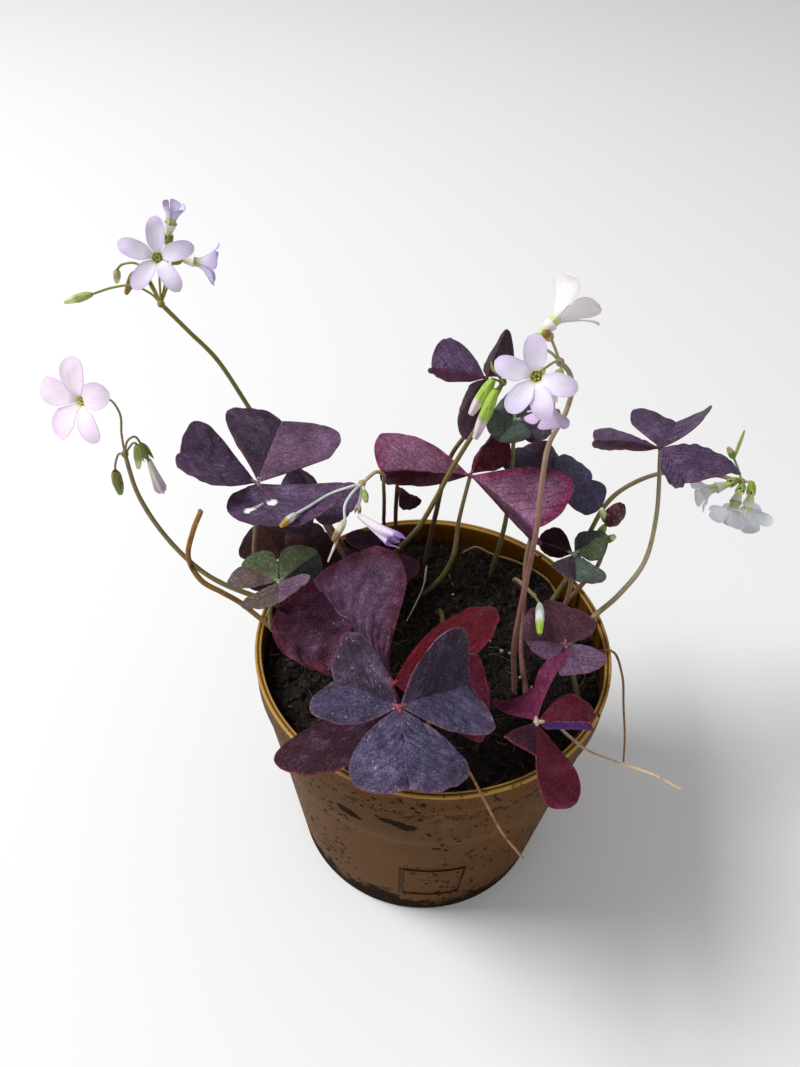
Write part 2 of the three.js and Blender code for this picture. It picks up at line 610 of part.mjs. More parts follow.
const BLOOMS = [
  { name: 'bloom_west_star', base: [-98, 65, 222], axis: [0.1, -0.86, 0.5], open: 76, long: 18.5 },
  { name: 'bloom_west_cup', base: [-97.5, 77, 225], axis: [0.3, 0, 0.95], open: 20, long: 12.5, width: 4.4 },
  { name: 'bloom_west_droop', base: [-95.5, 81.2, 214], axis: [0.95, 0.1, -0.2], open: 40, long: 16 },
  { name: 'bloom_low_star', base: [-118.5, 34, 186], axis: [-0.4, -0.8, 0.4], open: 74, long: 21, width: 9.5 },
  { name: 'bloom_low_closed', base: [-104.5, 34, 161], axis: [0.2, -0.1, -1], open: 0, long: 15, width: 4 },
  { name: 'bloom_middle_star', base: [23.5, 5, 223], axis: [-0.25, -0.9, 0.4], open: 72, long: 18,
    turns: [95, 162, 236, 290, 350] },
  { name: 'bloom_middle_back', base: [28.5, 7, 217.5], axis: [-0.05, -0.2, -1], open: 45, long: 14, width: 7 },
  { name: 'bloom_middle_side', base: [24.7, 20.2, 226.7], axis: [0.7, 0.52, 0.5], open: 36, long: 21, width: 8 },
  { name: 'bloom_east_left', base: [103, 37, 159], axis: [-0.9, -0.15, -0.3], open: 45, long: 14.5, width: 7 },
  { name: 'bloom_east_front', base: [106, 33, 159], axis: [-0.35, -0.8, -0.45], open: 56, long: 15 },
  { name: 'bloom_east_back', base: [112, 36, 155.5], axis: [0.1, -0.05, -1], open: 60, long: 16, width: 7 },
  { name: 'bloom_faded', base: [20, 37, 203], axis: [0.2, -0.6, 0.6], open: 0, long: 9, width: 3.6 },
  { name: 'bloom_wilted', base: [-28.3, 6.8, 163.6], axis: [0.84, -0.47, -0.26], open: 0, long: 19, width: 4 },
];

// ---------- dry stems and fibres ----------
const WITHERED = {
  name: 'leaf_withered',
  stalk: [[-14, 50, 101], [-16, 55, 116], [-16, 57, 134]],
  leaflet: { turn: 350, rise: -35, right: 52, left: 58, rightCurl: 20, leftCurl: -30, long: 11 },
};
const STRANDS = [
  { name: 'stem_dead', radius: [1.3, 1.6],
    way: [[-55, 0, 101], [-60, 1, 111.5], [-65, 3, 115], [-71, 5, 119.5], [-77, 5, 124.5],
      [-84, 6, 129], [-88, 8, 138], [-85, 8, 151], [-81, 8, 161]] },
  { name: 'strand_soil', radius: [0.5, 0.5],
    way: [[14, 56, 101], [18, 55, 104.5], [24, 52, 104], [35, 47, 104.5], [46, 38, 104.5], [50, 30, 103]] },
  { name: 'strand_root', radius: [0.55, 0.55],
    way: [[-3, 37, 101], [-3, 35, 112], [-4, 29, 107], [-7, 21, 104.5], [-10, 14, 103]] },
  { name: 'strand_front', radius: [0.6, 0.5],
    way: [[8, -42, 101], [10, -50, 108], [13, -59, 112], [17, -68, 112], [22, -72, 104], [30, -75, 93]] },
  { name: 'strand_straw', radius: [0.7, 0.4],
    way: [[43, -28, 101], [46, -40, 110], [51, -48, 114], [58, -54, 118], [68, -59, 120], [77, -62, 117]] },
  { name: 'strand_east', radius: [0.55, 0.4],
    way: [[54, 0, 101], [59, -2, 109], [65, -4, 112], [69, -9, 105], [71, -14, 94], [73, -20, 82],
      [74, -24, 72]] },
];

// ---------- pot and soil ----------
function outerRadius(z) {
  return lerp(POT.baseRadius, POT.rimRadius - POT.collarStep, z / (POT.height - POT.collarDrop));
}

function potGeometry() {
  const { rimRadius: rim, height: top, lip, wall, floor, groove } = POT;
  const ledge = top - POT.collarDrop;
  const band = top - POT.bandDrop;
  const innerTop = rim - lip;
  const profile = [
    [0, 0], [POT.baseRadius - 1, 0], [POT.baseRadius, 1],
    [outerRadius(band) - POT.bandStep, band], [outerRadius(band), band + 0.8],
    [outerRadius(ledge), ledge], [rim - 0.3, ledge + 0.9],
    [rim, top - 0.5], [rim - 0.9, top], [rim - lip / 2, top - groove], [innerTop + 0.6, top],
    [innerTop + 0.1, top - 0.6],
    [innerTop - 0.2, ledge - 3], [POT.baseRadius - wall, floor], [0, floor],
  ].map(([r, z]) => new THREE.Vector2(r, z));
  const shell = new THREE.LatheGeometry(profile, POT.sides).rotateX(Math.PI / 2);
  let solid = toManifold(shell);
  for (let i = 0; i < DRAIN.count; i++) {
    const turn = (2 * Math.PI * (i + 0.5)) / DRAIN.count;
    const hole = new THREE.CylinderGeometry(DRAIN.radius, DRAIN.radius, 4 * floor, DRAIN.sides).rotateX(Math.PI / 2);
    hole.translate(DRAIN.ring * Math.cos(turn), DRAIN.ring * Math.sin(turn), 0);
    solid = solid.subtract(toManifold(hole));
  }
  return toGeometry(solid);
}

// Height of the soil, with low lumps and a slight dip in the middle.
function soilHeight(x, y) {
  const lumps = Math.sin(x * 0.19 + 1) * Math.cos(y * 0.16) + 0.6 * Math.sin(x * 0.37 - y * 0.29)
    + 0.5 * Math.cos(y * 0.45 + x * 0.13);
  return SOIL.level + SOIL.bump * lumps;
}

function soilGeometry(footholds) {
  const { rings } = SOIL;
  const { sides } = POT;
  const ledge = POT.height - POT.collarDrop;
  const innerAt = (z) => lerp(POT.baseRadius - POT.wall, POT.rimRadius - POT.lip - 0.2,
    (z - POT.floor) / (ledge - 3 - POT.floor)) - GAP - 0.25;
  const bottom = POT.floor + GAP;
  const top = innerAt(ledge - 3);
  const points = [new THREE.Vector3(0, 0, soilHeight(0, 0))];
  for (let i = 1; i <= rings; i++) {
    for (let k = 0; k < sides; k++) {
      const turn = (2 * Math.PI * k) / sides;
      const [x, y] = [Math.cos(turn) * top * i / rings, Math.sin(turn) * top * i / rings];
      points.push(new THREE.Vector3(x, y, soilHeight(x, y)));
    }
  }
  for (const [radius, z] of [[top, ledge - 3], [innerAt(bottom), bottom]]) {
    for (let k = 0; k < sides; k++) {
      const turn = (2 * Math.PI * k) / sides;
      points.push(new THREE.Vector3(Math.cos(turn) * radius, Math.sin(turn) * radius, z));
    }
  }
  const last = points.push(new THREE.Vector3(0, 0, bottom)) - 1;
  const triangles = [];
  for (let k = 0; k < sides; k++) {
    const next = (k + 1) % sides;
    triangles.push([0, 1 + k, 1 + next]);
    for (let i = 0; i <= rings; i++) {
      const [a, b] = [1 + i * sides + k, 1 + i * sides + next];
      triangles.push([a, a + sides, b + sides], [a, b + sides, b]);
    }
    triangles.push([last, 1 + (rings + 1) * sides + next, 1 + (rings + 1) * sides + k]);
  }
  let solid = toManifold(closedMesh(points, triangles));
  for (const foothold of footholds) solid = solid.subtract(toManifold(foothold));
  return toGeometry(solid);
}

// ---------- assembly ----------
const plant = new THREE.Group();
const holes = [];
const add = (name, geometry, paint) => {
  const mesh = new THREE.Mesh(geometry, PAINT[paint]);
  mesh.name = name;
  plant.add(mesh);
};

// The rod of a stem. It leaves a plain hole for its foot in the soil.
function standingStem(points, radius, stopShort) {
  const path = stemPath(points, stopShort);
  const start = path[1].clone().sub(path[0]).normalize();
  const ends = [
    path[0].clone().addScaledVector(start, -GAP),
    path[1].clone().addScaledVector(start, ROOTED / 2),
  ];
  holes.push(rod(ends, () => radius[0] + HOLE_SLACK, STALK.sides, 1));
  return rod(path, (t) => lerp(radius[0], radius[1], t), STALK.sides, stemSteps(path));
}

LEAVES.forEach((leaf, index) => {
  add(`${leaf.name}_blade`, blade(leaf, index), leaf.paint);
  const stalk = standingStem(leaf.stalk, STALK.radius, BEAD + GAP);
  add(`${leaf.name}_stalk`, stalk, 'stalk');
});

for (const head of UMBELS) {
  const scape = standingStem(head.scape, head.radius ?? SCAPE.radius, 0);
  add(head.name, umbel(scape, head), 'scape');
}
for (const flower of BLOOMS) add(flower.name, bloom(flower), 'petal');
for (const { name, way, radius } of STRANDS) add(name, standingStem(way, radius, 0), 'dry');

const withered = standingStem(WITHERED.stalk, [0.9, 0.8], 0);
const crumpled = sheet(
  leafletSurface(point(WITHERED.stalk.at(-1)), WITHERED.leaflet, 3),
  LEAFLET.rows, LEAFLET.columns, LEAFLET.thickness, LEAFLET.root);
add(WITHERED.name, toGeometry(fuse([withered, crumpled])), 'plum');

add('pot', potGeometry(), 'pot');
add('soil', soilGeometry(holes), 'soil');

export default plant;
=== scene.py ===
# %% [markdown]
# # A purple shamrock in its nursery pot
#
# The plant is a clump of leaves and flower stems that rise from a plastic pot of dark soil. Each leaf is
# three folded leaflets on one stalk, and each flower stem ends in a knot of buds and five-petalled blooms.
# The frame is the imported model: its nodes say where every piece is, and every piece made here stands for
# the node of the same name.

# %% Load the frame
import math

import bpy
import numpy as np
from mathutils import Matrix


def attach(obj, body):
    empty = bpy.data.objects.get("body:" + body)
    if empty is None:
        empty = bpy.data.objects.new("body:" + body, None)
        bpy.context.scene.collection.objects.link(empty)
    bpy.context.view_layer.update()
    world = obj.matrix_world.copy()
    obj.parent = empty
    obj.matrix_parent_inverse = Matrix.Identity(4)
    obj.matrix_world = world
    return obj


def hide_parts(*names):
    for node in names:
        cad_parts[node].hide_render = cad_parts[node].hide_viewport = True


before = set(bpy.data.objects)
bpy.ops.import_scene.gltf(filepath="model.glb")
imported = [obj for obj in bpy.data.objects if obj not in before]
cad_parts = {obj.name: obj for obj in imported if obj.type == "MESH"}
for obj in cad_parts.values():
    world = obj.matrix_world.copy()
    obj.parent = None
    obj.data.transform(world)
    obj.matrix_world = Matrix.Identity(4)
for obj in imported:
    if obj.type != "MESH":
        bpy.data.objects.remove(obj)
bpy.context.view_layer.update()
MM = 0.001

# %% [markdown]
# ## Camera, floor and light
#
# The plant is looked down on from a little above its flowers. A camera could be aimed with a constraint,
# but its place and its slight roll are known, so its matrix is written from three directions. A wide pale
# floor fills the view. One broad lamp stands high at the left, as a window would, a weak one fills from the
# front, and a pale sky lifts the shadows. The leaves are lit and the front of the pot stays in their shade.

# %% Camera
PITCH = math.radians(43.5)
ROLL = math.radians(2.6)
CAMERA_PLACE = (-0.014, -0.2135, 0.365)
SENSOR = 36.0
FOCAL_PIXELS, PICTURE_PIXELS = 900, 1067
LENS = FOCAL_PIXELS * SENSOR / PICTURE_PIXELS

camera = bpy.data.objects.new("camera", bpy.data.cameras.new("camera"))
bpy.context.scene.collection.objects.link(camera)
camera.data.sensor_width = SENSOR
camera.data.lens = LENS
camera.data.clip_start = 0.01
ahead = np.array([0, math.cos(PITCH), -math.sin(PITCH)])
level = np.array([1.0, 0, 0])
upright = np.array([0, math.sin(PITCH), math.cos(PITCH)])
to_right = math.cos(ROLL) * level + math.sin(ROLL) * upright
to_top = math.cos(ROLL) * upright - math.sin(ROLL) * level
camera.matrix_world = (
    Matrix.Translation(CAMERA_PLACE) @ Matrix(np.column_stack([to_right, to_top, -ahead]).tolist()).to_4x4()
)
bpy.context.scene.camera = camera
print("camera at", CAMERA_PLACE, "lens", round(LENS, 2))

# %% Light and the look of the picture
bpy.context.scene.view_settings.view_transform = "Standard"
UP = np.array([0, 0, 1.0])
SKY_STRENGTH = 0.38


def unit(vectors):
    """Vectors divided by their own length."""
    return vectors / np.maximum(np.linalg.norm(vectors, axis=-1, keepdims=True), 1e-9)


def lamp(name, place, aim, size, power):
    """A square soft lamp at a place, turned to face the point it aims at."""
    light = bpy.data.lights.new(name, "AREA")
    light.size = size
    light.energy = power
    lamp_object = bpy.data.objects.new(name, light)
    direction = unit(np.array(aim) - np.array(place))
    side = unit(np.cross(direction, UP))
    turned = Matrix(np.column_stack([side, np.cross(side, direction), -direction]).tolist()).to_4x4()
    lamp_object.matrix_world = Matrix.Translation(place) @ turned
    bpy.context.scene.collection.objects.link(lamp_object)


lamp("left_lamp", (-1.5, 0.1, 2.0), (0, 0, 0.12), 1.0, 52)
lamp("front_lamp", (0.15, -1.1, 0.8), (0, 0, 0.1), 0.8, 1.6)
world = bpy.data.worlds.new("soft_sky")
world.use_nodes = True
world.node_tree.nodes["Background"].inputs["Color"].default_value = (1, 1, 1, 1)
world.node_tree.nodes["Background"].inputs["Strength"].default_value = SKY_STRENGTH
bpy.context.scene.world = world
print("lamps", len(bpy.data.lights))

# %% Floor
FLOOR_HALF = 4.0
floor_mesh = bpy.data.meshes.new("floor")
floor_mesh.from_pydata(
    [(x * FLOOR_HALF, y * FLOOR_HALF, 0) for x, y in ((-1, -1), (1, -1), (1, 1), (-1, 1))], [], [(0, 1, 2, 3)]
)
floor = bpy.data.objects.new("floor", floor_mesh)
bpy.context.scene.collection.objects.link(floor)
floor_paint = bpy.data.materials.new("pale_floor")
floor_paint.use_nodes = True
floor_shader = floor_paint.node_tree.nodes["Principled BSDF"]
floor_shader.inputs["Base Color"].default_value = (0.9, 0.9, 0.9, 1)
floor_shader.inputs["Roughness"].default_value = 0.9
floor_mesh.materials.append(floor_paint)
print("floor", 2 * FLOOR_HALF, "m wide")

# %% [markdown]
# ## Sheets, lofts and routes
#
# Everything that grows here is one of two shapes. A leaflet or a petal is a sheet: a grid of points with a
# thickness. A stem, a bud or a cup is a loft: rings of points closed at both ends. Both could be modelled by
# hand and thickened with a modifier. Here they are worked out as whole arrays, in millimetres, because every
# point then also knows its colour and its place on the leaf, which the materials read later.


# %% Noise and colour
def smooth(x, low, high):
    """0 below low, 1 above high, and in between t squared times (3 - 2t), which starts and ends level."""
    t = np.clip((x - low) / (high - low), 0, 1)
    return t * t * (3 - 2 * t)


def noise(points, size, seed=0):
    """Smooth noise from -1 to 1. Each corner of a lattice of this size has a value from a hash of its
    three whole numbers and the seed, and a point takes the eased mix of its eight corners."""
    scaled = np.asarray(points, float) / size
    cell = np.floor(scaled).astype(np.int64)
    part = scaled - cell
    part = part * part * (3 - 2 * part)
    total = np.zeros(scaled.shape[:-1])
    for corner in np.ndindex(2, 2, 2):
        x, y, z = np.moveaxis(cell + corner, -1, 0)
        mixed = (x * 73856093) ^ (y * 19349663) ^ (z * 83492791) ^ (seed * 40503)
        mixed = ((mixed ^ (mixed >> 13)) * 1274126177) & 0xFFFFFFFF
        value = ((mixed ^ (mixed >> 15)) & 0xFFFF) / 32767.5 - 1
        total += value * np.prod(np.where(corner, part, 1 - part), axis=-1)
    return total


def colour(red, green, blue):
    """A screen colour from 0 to 255 as linear light: below 11 divided by 3295, above it a 2.4 power."""
    shade = np.array([red, green, blue]) / 255
    linear = np.where(shade < 0.04045, shade / 12.92, ((shade + 0.055) / 1.055) ** 2.4)
    return np.append(linear, 1.0)


def mix(first, second, share):
    """The first value moved towards the second by a share from 0 to 1."""
    share = np.asarray(share)[..., None]
    return first * (1 - share) + second * share


# %% Grids of faces
def grid_faces(rows, columns, closed=False):
    """The four corners of each cell of a grid of points. A closed grid joins its last column to its first."""
    width = columns if closed else columns + 1
    row = np.arange(rows)[:, None]
    column = np.arange(columns)[None, :]
    following = (column + 1) % width
    corners = [row * width + column, row * width + following]
    corners += [(row + 1) * width + following, (row + 1) * width + column]
    return np.stack(np.broadcast_arrays(*corners), -1).reshape(-1, 4)


def part(points, quads, triangles, skin, **more):
    """One closed body: its points, its faces, and for every point a colour and any further values.
    Its volume, the sum of the wedges between the origin and each face, tells if its faces point in."""
    count = len(points)
    faces = np.concatenate([quads[:, :3], quads[:, [0, 2, 3]], triangles])
    a, b, c = (points[faces[:, n]] for n in range(3))
    if np.einsum("ij,ij->i", a, np.cross(b, c)).sum() < 0:
        quads, triangles = quads[:, ::-1], triangles[:, ::-1]
    body = {"points": points, "quads": quads, "triangles": triangles}
    body["skin"] = np.broadcast_to(skin, (count, 4))
    for key, value in more.items():
        body[key] = value
    return body


def sheet(surface, thickness, skin, under_skin, **more):
    """A thin closed sheet: the surface moved half the thickness each way along its normals, which are the
    cross products of its two grid directions, with a band of faces round the edge."""
    rows, columns = surface.shape[0] - 1, surface.shape[1] - 1
    normal = unit(np.cross(np.gradient(surface, axis=1), np.gradient(surface, axis=0)))
    half = np.broadcast_to(np.asarray(thickness) / 2, surface.shape[:2])[..., None]
    over, beneath = surface + half * normal, surface - half * normal
    points = np.concatenate([over.reshape(-1, 3), beneath.reshape(-1, 3)])
    index = np.arange((rows + 1) * (columns + 1)).reshape(rows + 1, columns + 1)
    order = np.concatenate([index[0, :-1], index[:-1, -1], index[-1, :0:-1], index[:0:-1, 0]])
    following = np.roll(order, -1)
    under = index.size
    faces = grid_faces(rows, columns)
    rim = np.stack([following, order, order + under, following + under], -1)
    quads = np.concatenate([faces, faces[:, ::-1] + under, rim])
    cells = surface.shape[:2] + (4,)
    both = np.concatenate([np.broadcast_to(side, cells).reshape(-1, 4) for side in (skin, under_skin)])
    doubled = {}
    for key, value in more.items():
        flat_value = np.asarray(value, float).reshape(index.size, -1)
        doubled[key] = np.concatenate([flat_value, flat_value])
    return part(points, quads, np.zeros((0, 3), int), both, **doubled)


def loft(rings, skin, **more):
    """A closed solid through rings of points, with a middle point to close each end."""
    count, sides = rings.shape[:2]
    points = np.concatenate([rings.reshape(-1, 3), rings[0].mean(0)[None], rings[-1].mean(0)[None]])
    side = np.arange(sides)
    following = (side + 1) % sides
    first = np.full(sides, count * sides)
    last = (count - 1) * sides
    triangles = np.concatenate([
        np.stack([first, following, side], -1),
        np.stack([first + 1, last + side, last + following], -1),
    ])
    tint = np.broadcast_to(skin, (count, sides, 4)).reshape(-1, 4)
    tint = np.concatenate([tint, tint[:1], tint[-1:]])
    return part(points, grid_faces(count - 1, sides, closed=True), triangles, tint, **more)


# %% Rings round an axis, and tubes along a route
def cross_axes(axis):
    """Two directions at right angles to an axis and to each other."""
    flat = unit(np.array([1.0, 0, 0]) - axis[0] * axis)
    return flat, np.cross(axis, flat)


def round_turn(sides):
    """Evenly spaced angles, once round."""
    return 2 * np.pi * np.arange(sides) / sides


def turned(foot, axis, radius, height, sides=None):
    """Rings round an axis: at each angle, radius outwards from the axis and height along it."""
    radius, height = np.broadcast_arrays(np.asarray(radius, float), np.asarray(height, float))
    if sides:
        radius, height = (np.repeat(value[:, None], sides, 1) for value in (radius, height))
    flat, other = cross_axes(axis)
    angle = round_turn(radius.shape[1])
    outward = np.cos(angle)[:, None] * flat + np.sin(angle)[:, None] * other
    return foot + radius[..., None] * outward + height[..., None] * axis


ROUTE_POINTS = 24


def route(points, step):
    """A smooth line through the points, in even steps. Between two points it is a cubic whose slopes come
    from the neighbours, each weighed by the square root of its distance, so that it never loops."""
    points = np.asarray(points, float)
    ends = np.vstack([2 * points[0] - points[1], points, 2 * points[-1] - points[-2]])
    gap = np.sqrt(np.linalg.norm(np.diff(ends, axis=0), axis=1))[:, None]
    before, here, after = gap[:-2], gap[1:-1], gap[2:]
    a, b, c, d = ends[:-3], ends[1:-2], ends[2:-1], ends[3:]
    leave = ((b - a) / before - (c - a) / (before + here) + (c - b) / here) * here
    arrive = ((c - b) / here - (d - b) / (here + after) + (d - c) / after) * here
    t = (np.arange(ROUTE_POINTS) / ROUTE_POINTS)[None, :, None]
    line = (
        (2 * t**3 - 3 * t**2 + 1) * b[:, None] + (t**3 - 2 * t**2 + t) * leave[:, None]
        + (3 * t**2 - 2 * t**3) * c[:, None] + (t**3 - t**2) * arrive[:, None]
    )
    line = np.vstack([line.reshape(-1, 3), points[-1]])
    length = np.append(0, np.cumsum(np.linalg.norm(np.diff(line, axis=0), axis=1)))
    even = np.linspace(0, length[-1], max(int(length[-1] / step), 3) + 1)
    return np.column_stack([np.interp(even, length, line[:, n]) for n in range(3)])


def tube(line, radius, skin, sides=12, ribs=0.0):
    """A round stem along a line. Each ring's normal is the last one turned by as little as the line turns,
    and ribs raises faint ridges along the stem."""
    tangent = unit(np.gradient(line, axis=0))
    normals = [cross_axes(tangent[0])[0]]
    for direction in tangent[1:]:
        carried = normals[-1] - direction * (normals[-1] @ direction)
        normals.append(unit(carried))
    normals = np.array(normals)
    binormals = np.cross(tangent, normals)
    angle = round_turn(sides)
    radius = np.broadcast_to(radius, len(line))[:, None] * (1 + ribs * np.cos(3 * angle))
    rings = line[:, None] + radius[..., None] * (
        np.cos(angle)[:, None] * normals[:, None] + np.sin(angle)[:, None] * binormals[:, None]
    )
    return loft(rings, skin if np.ndim(skin) == 1 else skin[:, None])


# %% [markdown]
# ## Pieces and cuts
#
# A piece is one object for one node of the frame. Its bodies could be joined with Blender's own join, but
# foreach_set writes whole arrays into a mesh at once, which stays quick with many faces. The colour, the two
# flat maps, the amount of wear, which also sets how much painted sheen a leaf gets, and the amount of veins
# go in as attributes. Where a real part has an opening, a Boolean takes other closed bodies out of the piece.


# %% From bodies to a piece
SHARP = math.radians(60)


def joined(bodies, key, width):
    """A per-point value of all bodies, end to end, with zeros for a body that has none."""
    return np.concatenate([
        np.asarray(body.get(key, np.zeros((len(body["points"]), width))), float).reshape(-1, width)
        for body in bodies
    ])


def piece(name, bodies, material, slot, *nodes):
    """One object from closed bodies. Their points, faces and per-point values are joined end to end."""
    counts = np.array([len(body["points"]) for body in bodies])
    starts = np.concatenate([[0], np.cumsum(counts)[:-1]])
    points = np.concatenate([body["points"] for body in bodies]) * MM
    quads = np.concatenate([body["quads"] + start for body, start in zip(bodies, starts)])
    triangles = np.concatenate([body["triangles"] + start for body, start in zip(bodies, starts)])
    mesh = bpy.data.meshes.new(name)
    corners = np.concatenate([quads.ravel(), triangles.ravel()]).astype(np.int32)
    mesh.vertices.add(len(points))
    mesh.vertices.foreach_set("co", points.astype(np.float32).ravel())
    mesh.loops.add(len(corners))
    mesh.loops.foreach_set("vertex_index", corners)
    mesh.polygons.add(len(quads) + len(triangles))
    first_corner = np.concatenate([
        4 * np.arange(len(quads)), 4 * len(quads) + 3 * np.arange(len(triangles))
    ])
    mesh.polygons.foreach_set("loop_start", first_corner.astype(np.int32))
    mesh.update(calc_edges=True)
    for key in ("flat", "fan"):
        if key in bodies[0]:
            values = joined(bodies, key, 2)
            mesh.uv_layers.new(name=key).data.foreach_set("uv", values[corners].astype(np.float32).ravel())
    skin = mesh.color_attributes.new("skin", "FLOAT_COLOR", "POINT")
    skin.data.foreach_set("color", joined(bodies, "skin", 4).astype(np.float32).ravel())
    for key in ("wear", "veins"):
        if key in bodies[0]:
            values = mesh.attributes.new(key, "FLOAT", "POINT")
            values.data.foreach_set("value", joined(bodies, key, 1).astype(np.float32).ravel())
    mesh.shade_smooth()
    mesh.set_sharp_from_angle(angle=SHARP)
    mesh.materials.append(material)
    made = bpy.data.objects.new(name, mesh)
    bpy.context.scene.collection.objects.link(made)
    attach(made, "root")
    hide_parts(*nodes)
    return made


# %% From a piece to a cut piece
def cut(target, cutters, material):
    """Takes closed bodies out of a piece with a Boolean, and keeps the result as the piece's mesh. The
    bodies of one piece run into each other, so the solver is told that the piece crosses itself."""
    cutter = piece("cutter", cutters, material, "pot_plastic")
    modifier = target.modifiers.new("cut", "BOOLEAN")
    modifier.operation = "DIFFERENCE"
    modifier.object = cutter
    modifier.solver = "EXACT"
    modifier.use_self = True
    bpy.context.view_layer.update()
    result = bpy.data.meshes.new_from_object(target.evaluated_get(bpy.context.evaluated_depsgraph_get()))
    target.modifiers.clear()
    target.data = result
    print("cut", target.name, "faces", len(result.polygons))
    bpy.data.objects.remove(cutter)


# %% [markdown]
# ## Shader maths
#
# A material could be wired up by hand in the shader editor. Here it is written as sums and products of
# wires, so that a whole finish reads like a formula. One small class wraps a node's output, its operators add
# Math nodes, and its one method adds every other kind of node.


# %% Wires
class Wire:
    """The output of a node. Sums, products and differences of wires add Math nodes."""

    def __init__(self, tree, socket=None):
        self.tree = tree
        self.socket = socket

    def node(self, kind, settings=None, sockets=None, output=0):
        """Adds a node: its settings first, then a value or a wire for each socket."""
        made = self.tree.nodes.new("ShaderNode" + kind)
        for key, value in (settings or {}).items():
            setattr(made, key, value)
        for key, value in (sockets or {}).items():
            if isinstance(value, Wire):
                self.tree.links.new(value.socket, made.inputs[key])
            else:
                made.inputs[key].default_value = value
        return Wire(self.tree, made.outputs[output])

    def maths(self, operation, *others):
        """A Math node that takes this wire first."""
        return self.node("Math", {"operation": operation}, dict(enumerate([self, *others])))

    def __add__(self, other):
        return self.maths("ADD", other)

    __radd__ = __add__

    def __mul__(self, other):
        return self.maths("MULTIPLY", other)

    __rmul__ = __mul__

    def __sub__(self, other):
        return self.maths("SUBTRACT", other)

    def __rsub__(self, other):
        return self.node("Math", {"operation": "SUBTRACT"}, {0: other, 1: self})

    def step(self, low, high):
        """0 below low and 1 above high, with a smooth rise between them. Low above high turns it round."""
        sockets = {"Value": self, "From Min": low, "From Max": high}
        return self.node("MapRange", {"interpolation_type": "SMOOTHSTEP"}, sockets)

    def noise(self, scale, detail=3.0, roughness=0.5, distortion=0.0, output="Fac"):
        """Noise that reads this wire as its place."""
        sockets = {"Vector": self, "Scale": scale, "Detail": detail}
        sockets.update({"Roughness": roughness, "Distortion": distortion})
        return self.node("TexNoise", None, sockets, output)

    def cells(self, scale, feature="F1"):
        """Cells that read this wire as their place."""
        return self.node("TexVoronoi", {"feature": feature}, {"Vector": self, "Scale": scale}, "Distance")

    def stretched(self, scale, turn=(0, 0, 0)):
        """This place turned, and scaled along each axis."""
        return self.node("Mapping", None, {"Vector": self, "Scale": scale, "Rotation": turn}, "Vector")

    def axis(self, letter):
        """One number of this place: X, Y or Z."""
        return self.node("SeparateXYZ", None, {0: self}, letter)

    def blend(self, other, share):
        """This colour mixed with another one by a share."""
        settings = {"data_type": "RGBA", "clamp_factor": True}
        return self.node("Mix", settings, {0: share, 6: self, 7: other}, output=2)


def start_material(name):
    """A new material, its first wire, and its Principled shader."""
    material = bpy.data.materials.new(name)
    material.use_nodes = True
    return material, Wire(material.node_tree), material.node_tree.nodes["Principled BSDF"]


def attribute(tree, name, output="Fac"):
    """A value that the mesh carries for every point."""
    return tree.node("Attribute", {"attribute_name": name}, None, output)


def own_map(tree, name):
    """A place on one of the mesh's own flat maps."""
    return tree.node("UVMap", {"uv_map": name}, None, "UV")


def own_place(tree):
    """A place in metres, measured from the object's origin."""
    return tree.node("TexCoord", None, None, "Object")


def tree_colour(red, green, blue):
    """A screen colour as the tuple that a colour socket takes."""
    return tuple(colour(red, green, blue))


def finish_material(tree, shader, base, roughness, height, depth):
    """Joins colour, roughness and the bump of a height map, whose depth is in metres, to the shader."""
    tree.tree.links.new(base.socket, shader.inputs["Base Color"])
    tree.tree.links.new(roughness.socket, shader.inputs["Roughness"])
    bump = tree.node("Bump", None, {"Height": height, "Distance": depth, "Strength": 1.0}, "Normal")
    tree.tree.links.new(bump.socket, shader.inputs["Normal"])


# %% [markdown]
# ## Leaf skin
#
# A shamrock's leaf is matt and leathery. Fine veins fan out from the knot and leave the midrib in pairs,
# a net of still finer ones lies between them, and old leaves are scuffed pale where they rubbed. Such a skin
# could be painted on a picture. Noise and cells give it at any size instead, and no two leaves are alike. The
# base colour comes from each point of the leaflet, and the map laid flat on it places veins and scuffs.


# %% Leaf skin
VEIN_CURVE, VEIN_LEAN = 1.25, 0.85
VEIN_PAIRS = 6.0
LEAF_RELIEF = 0.0017


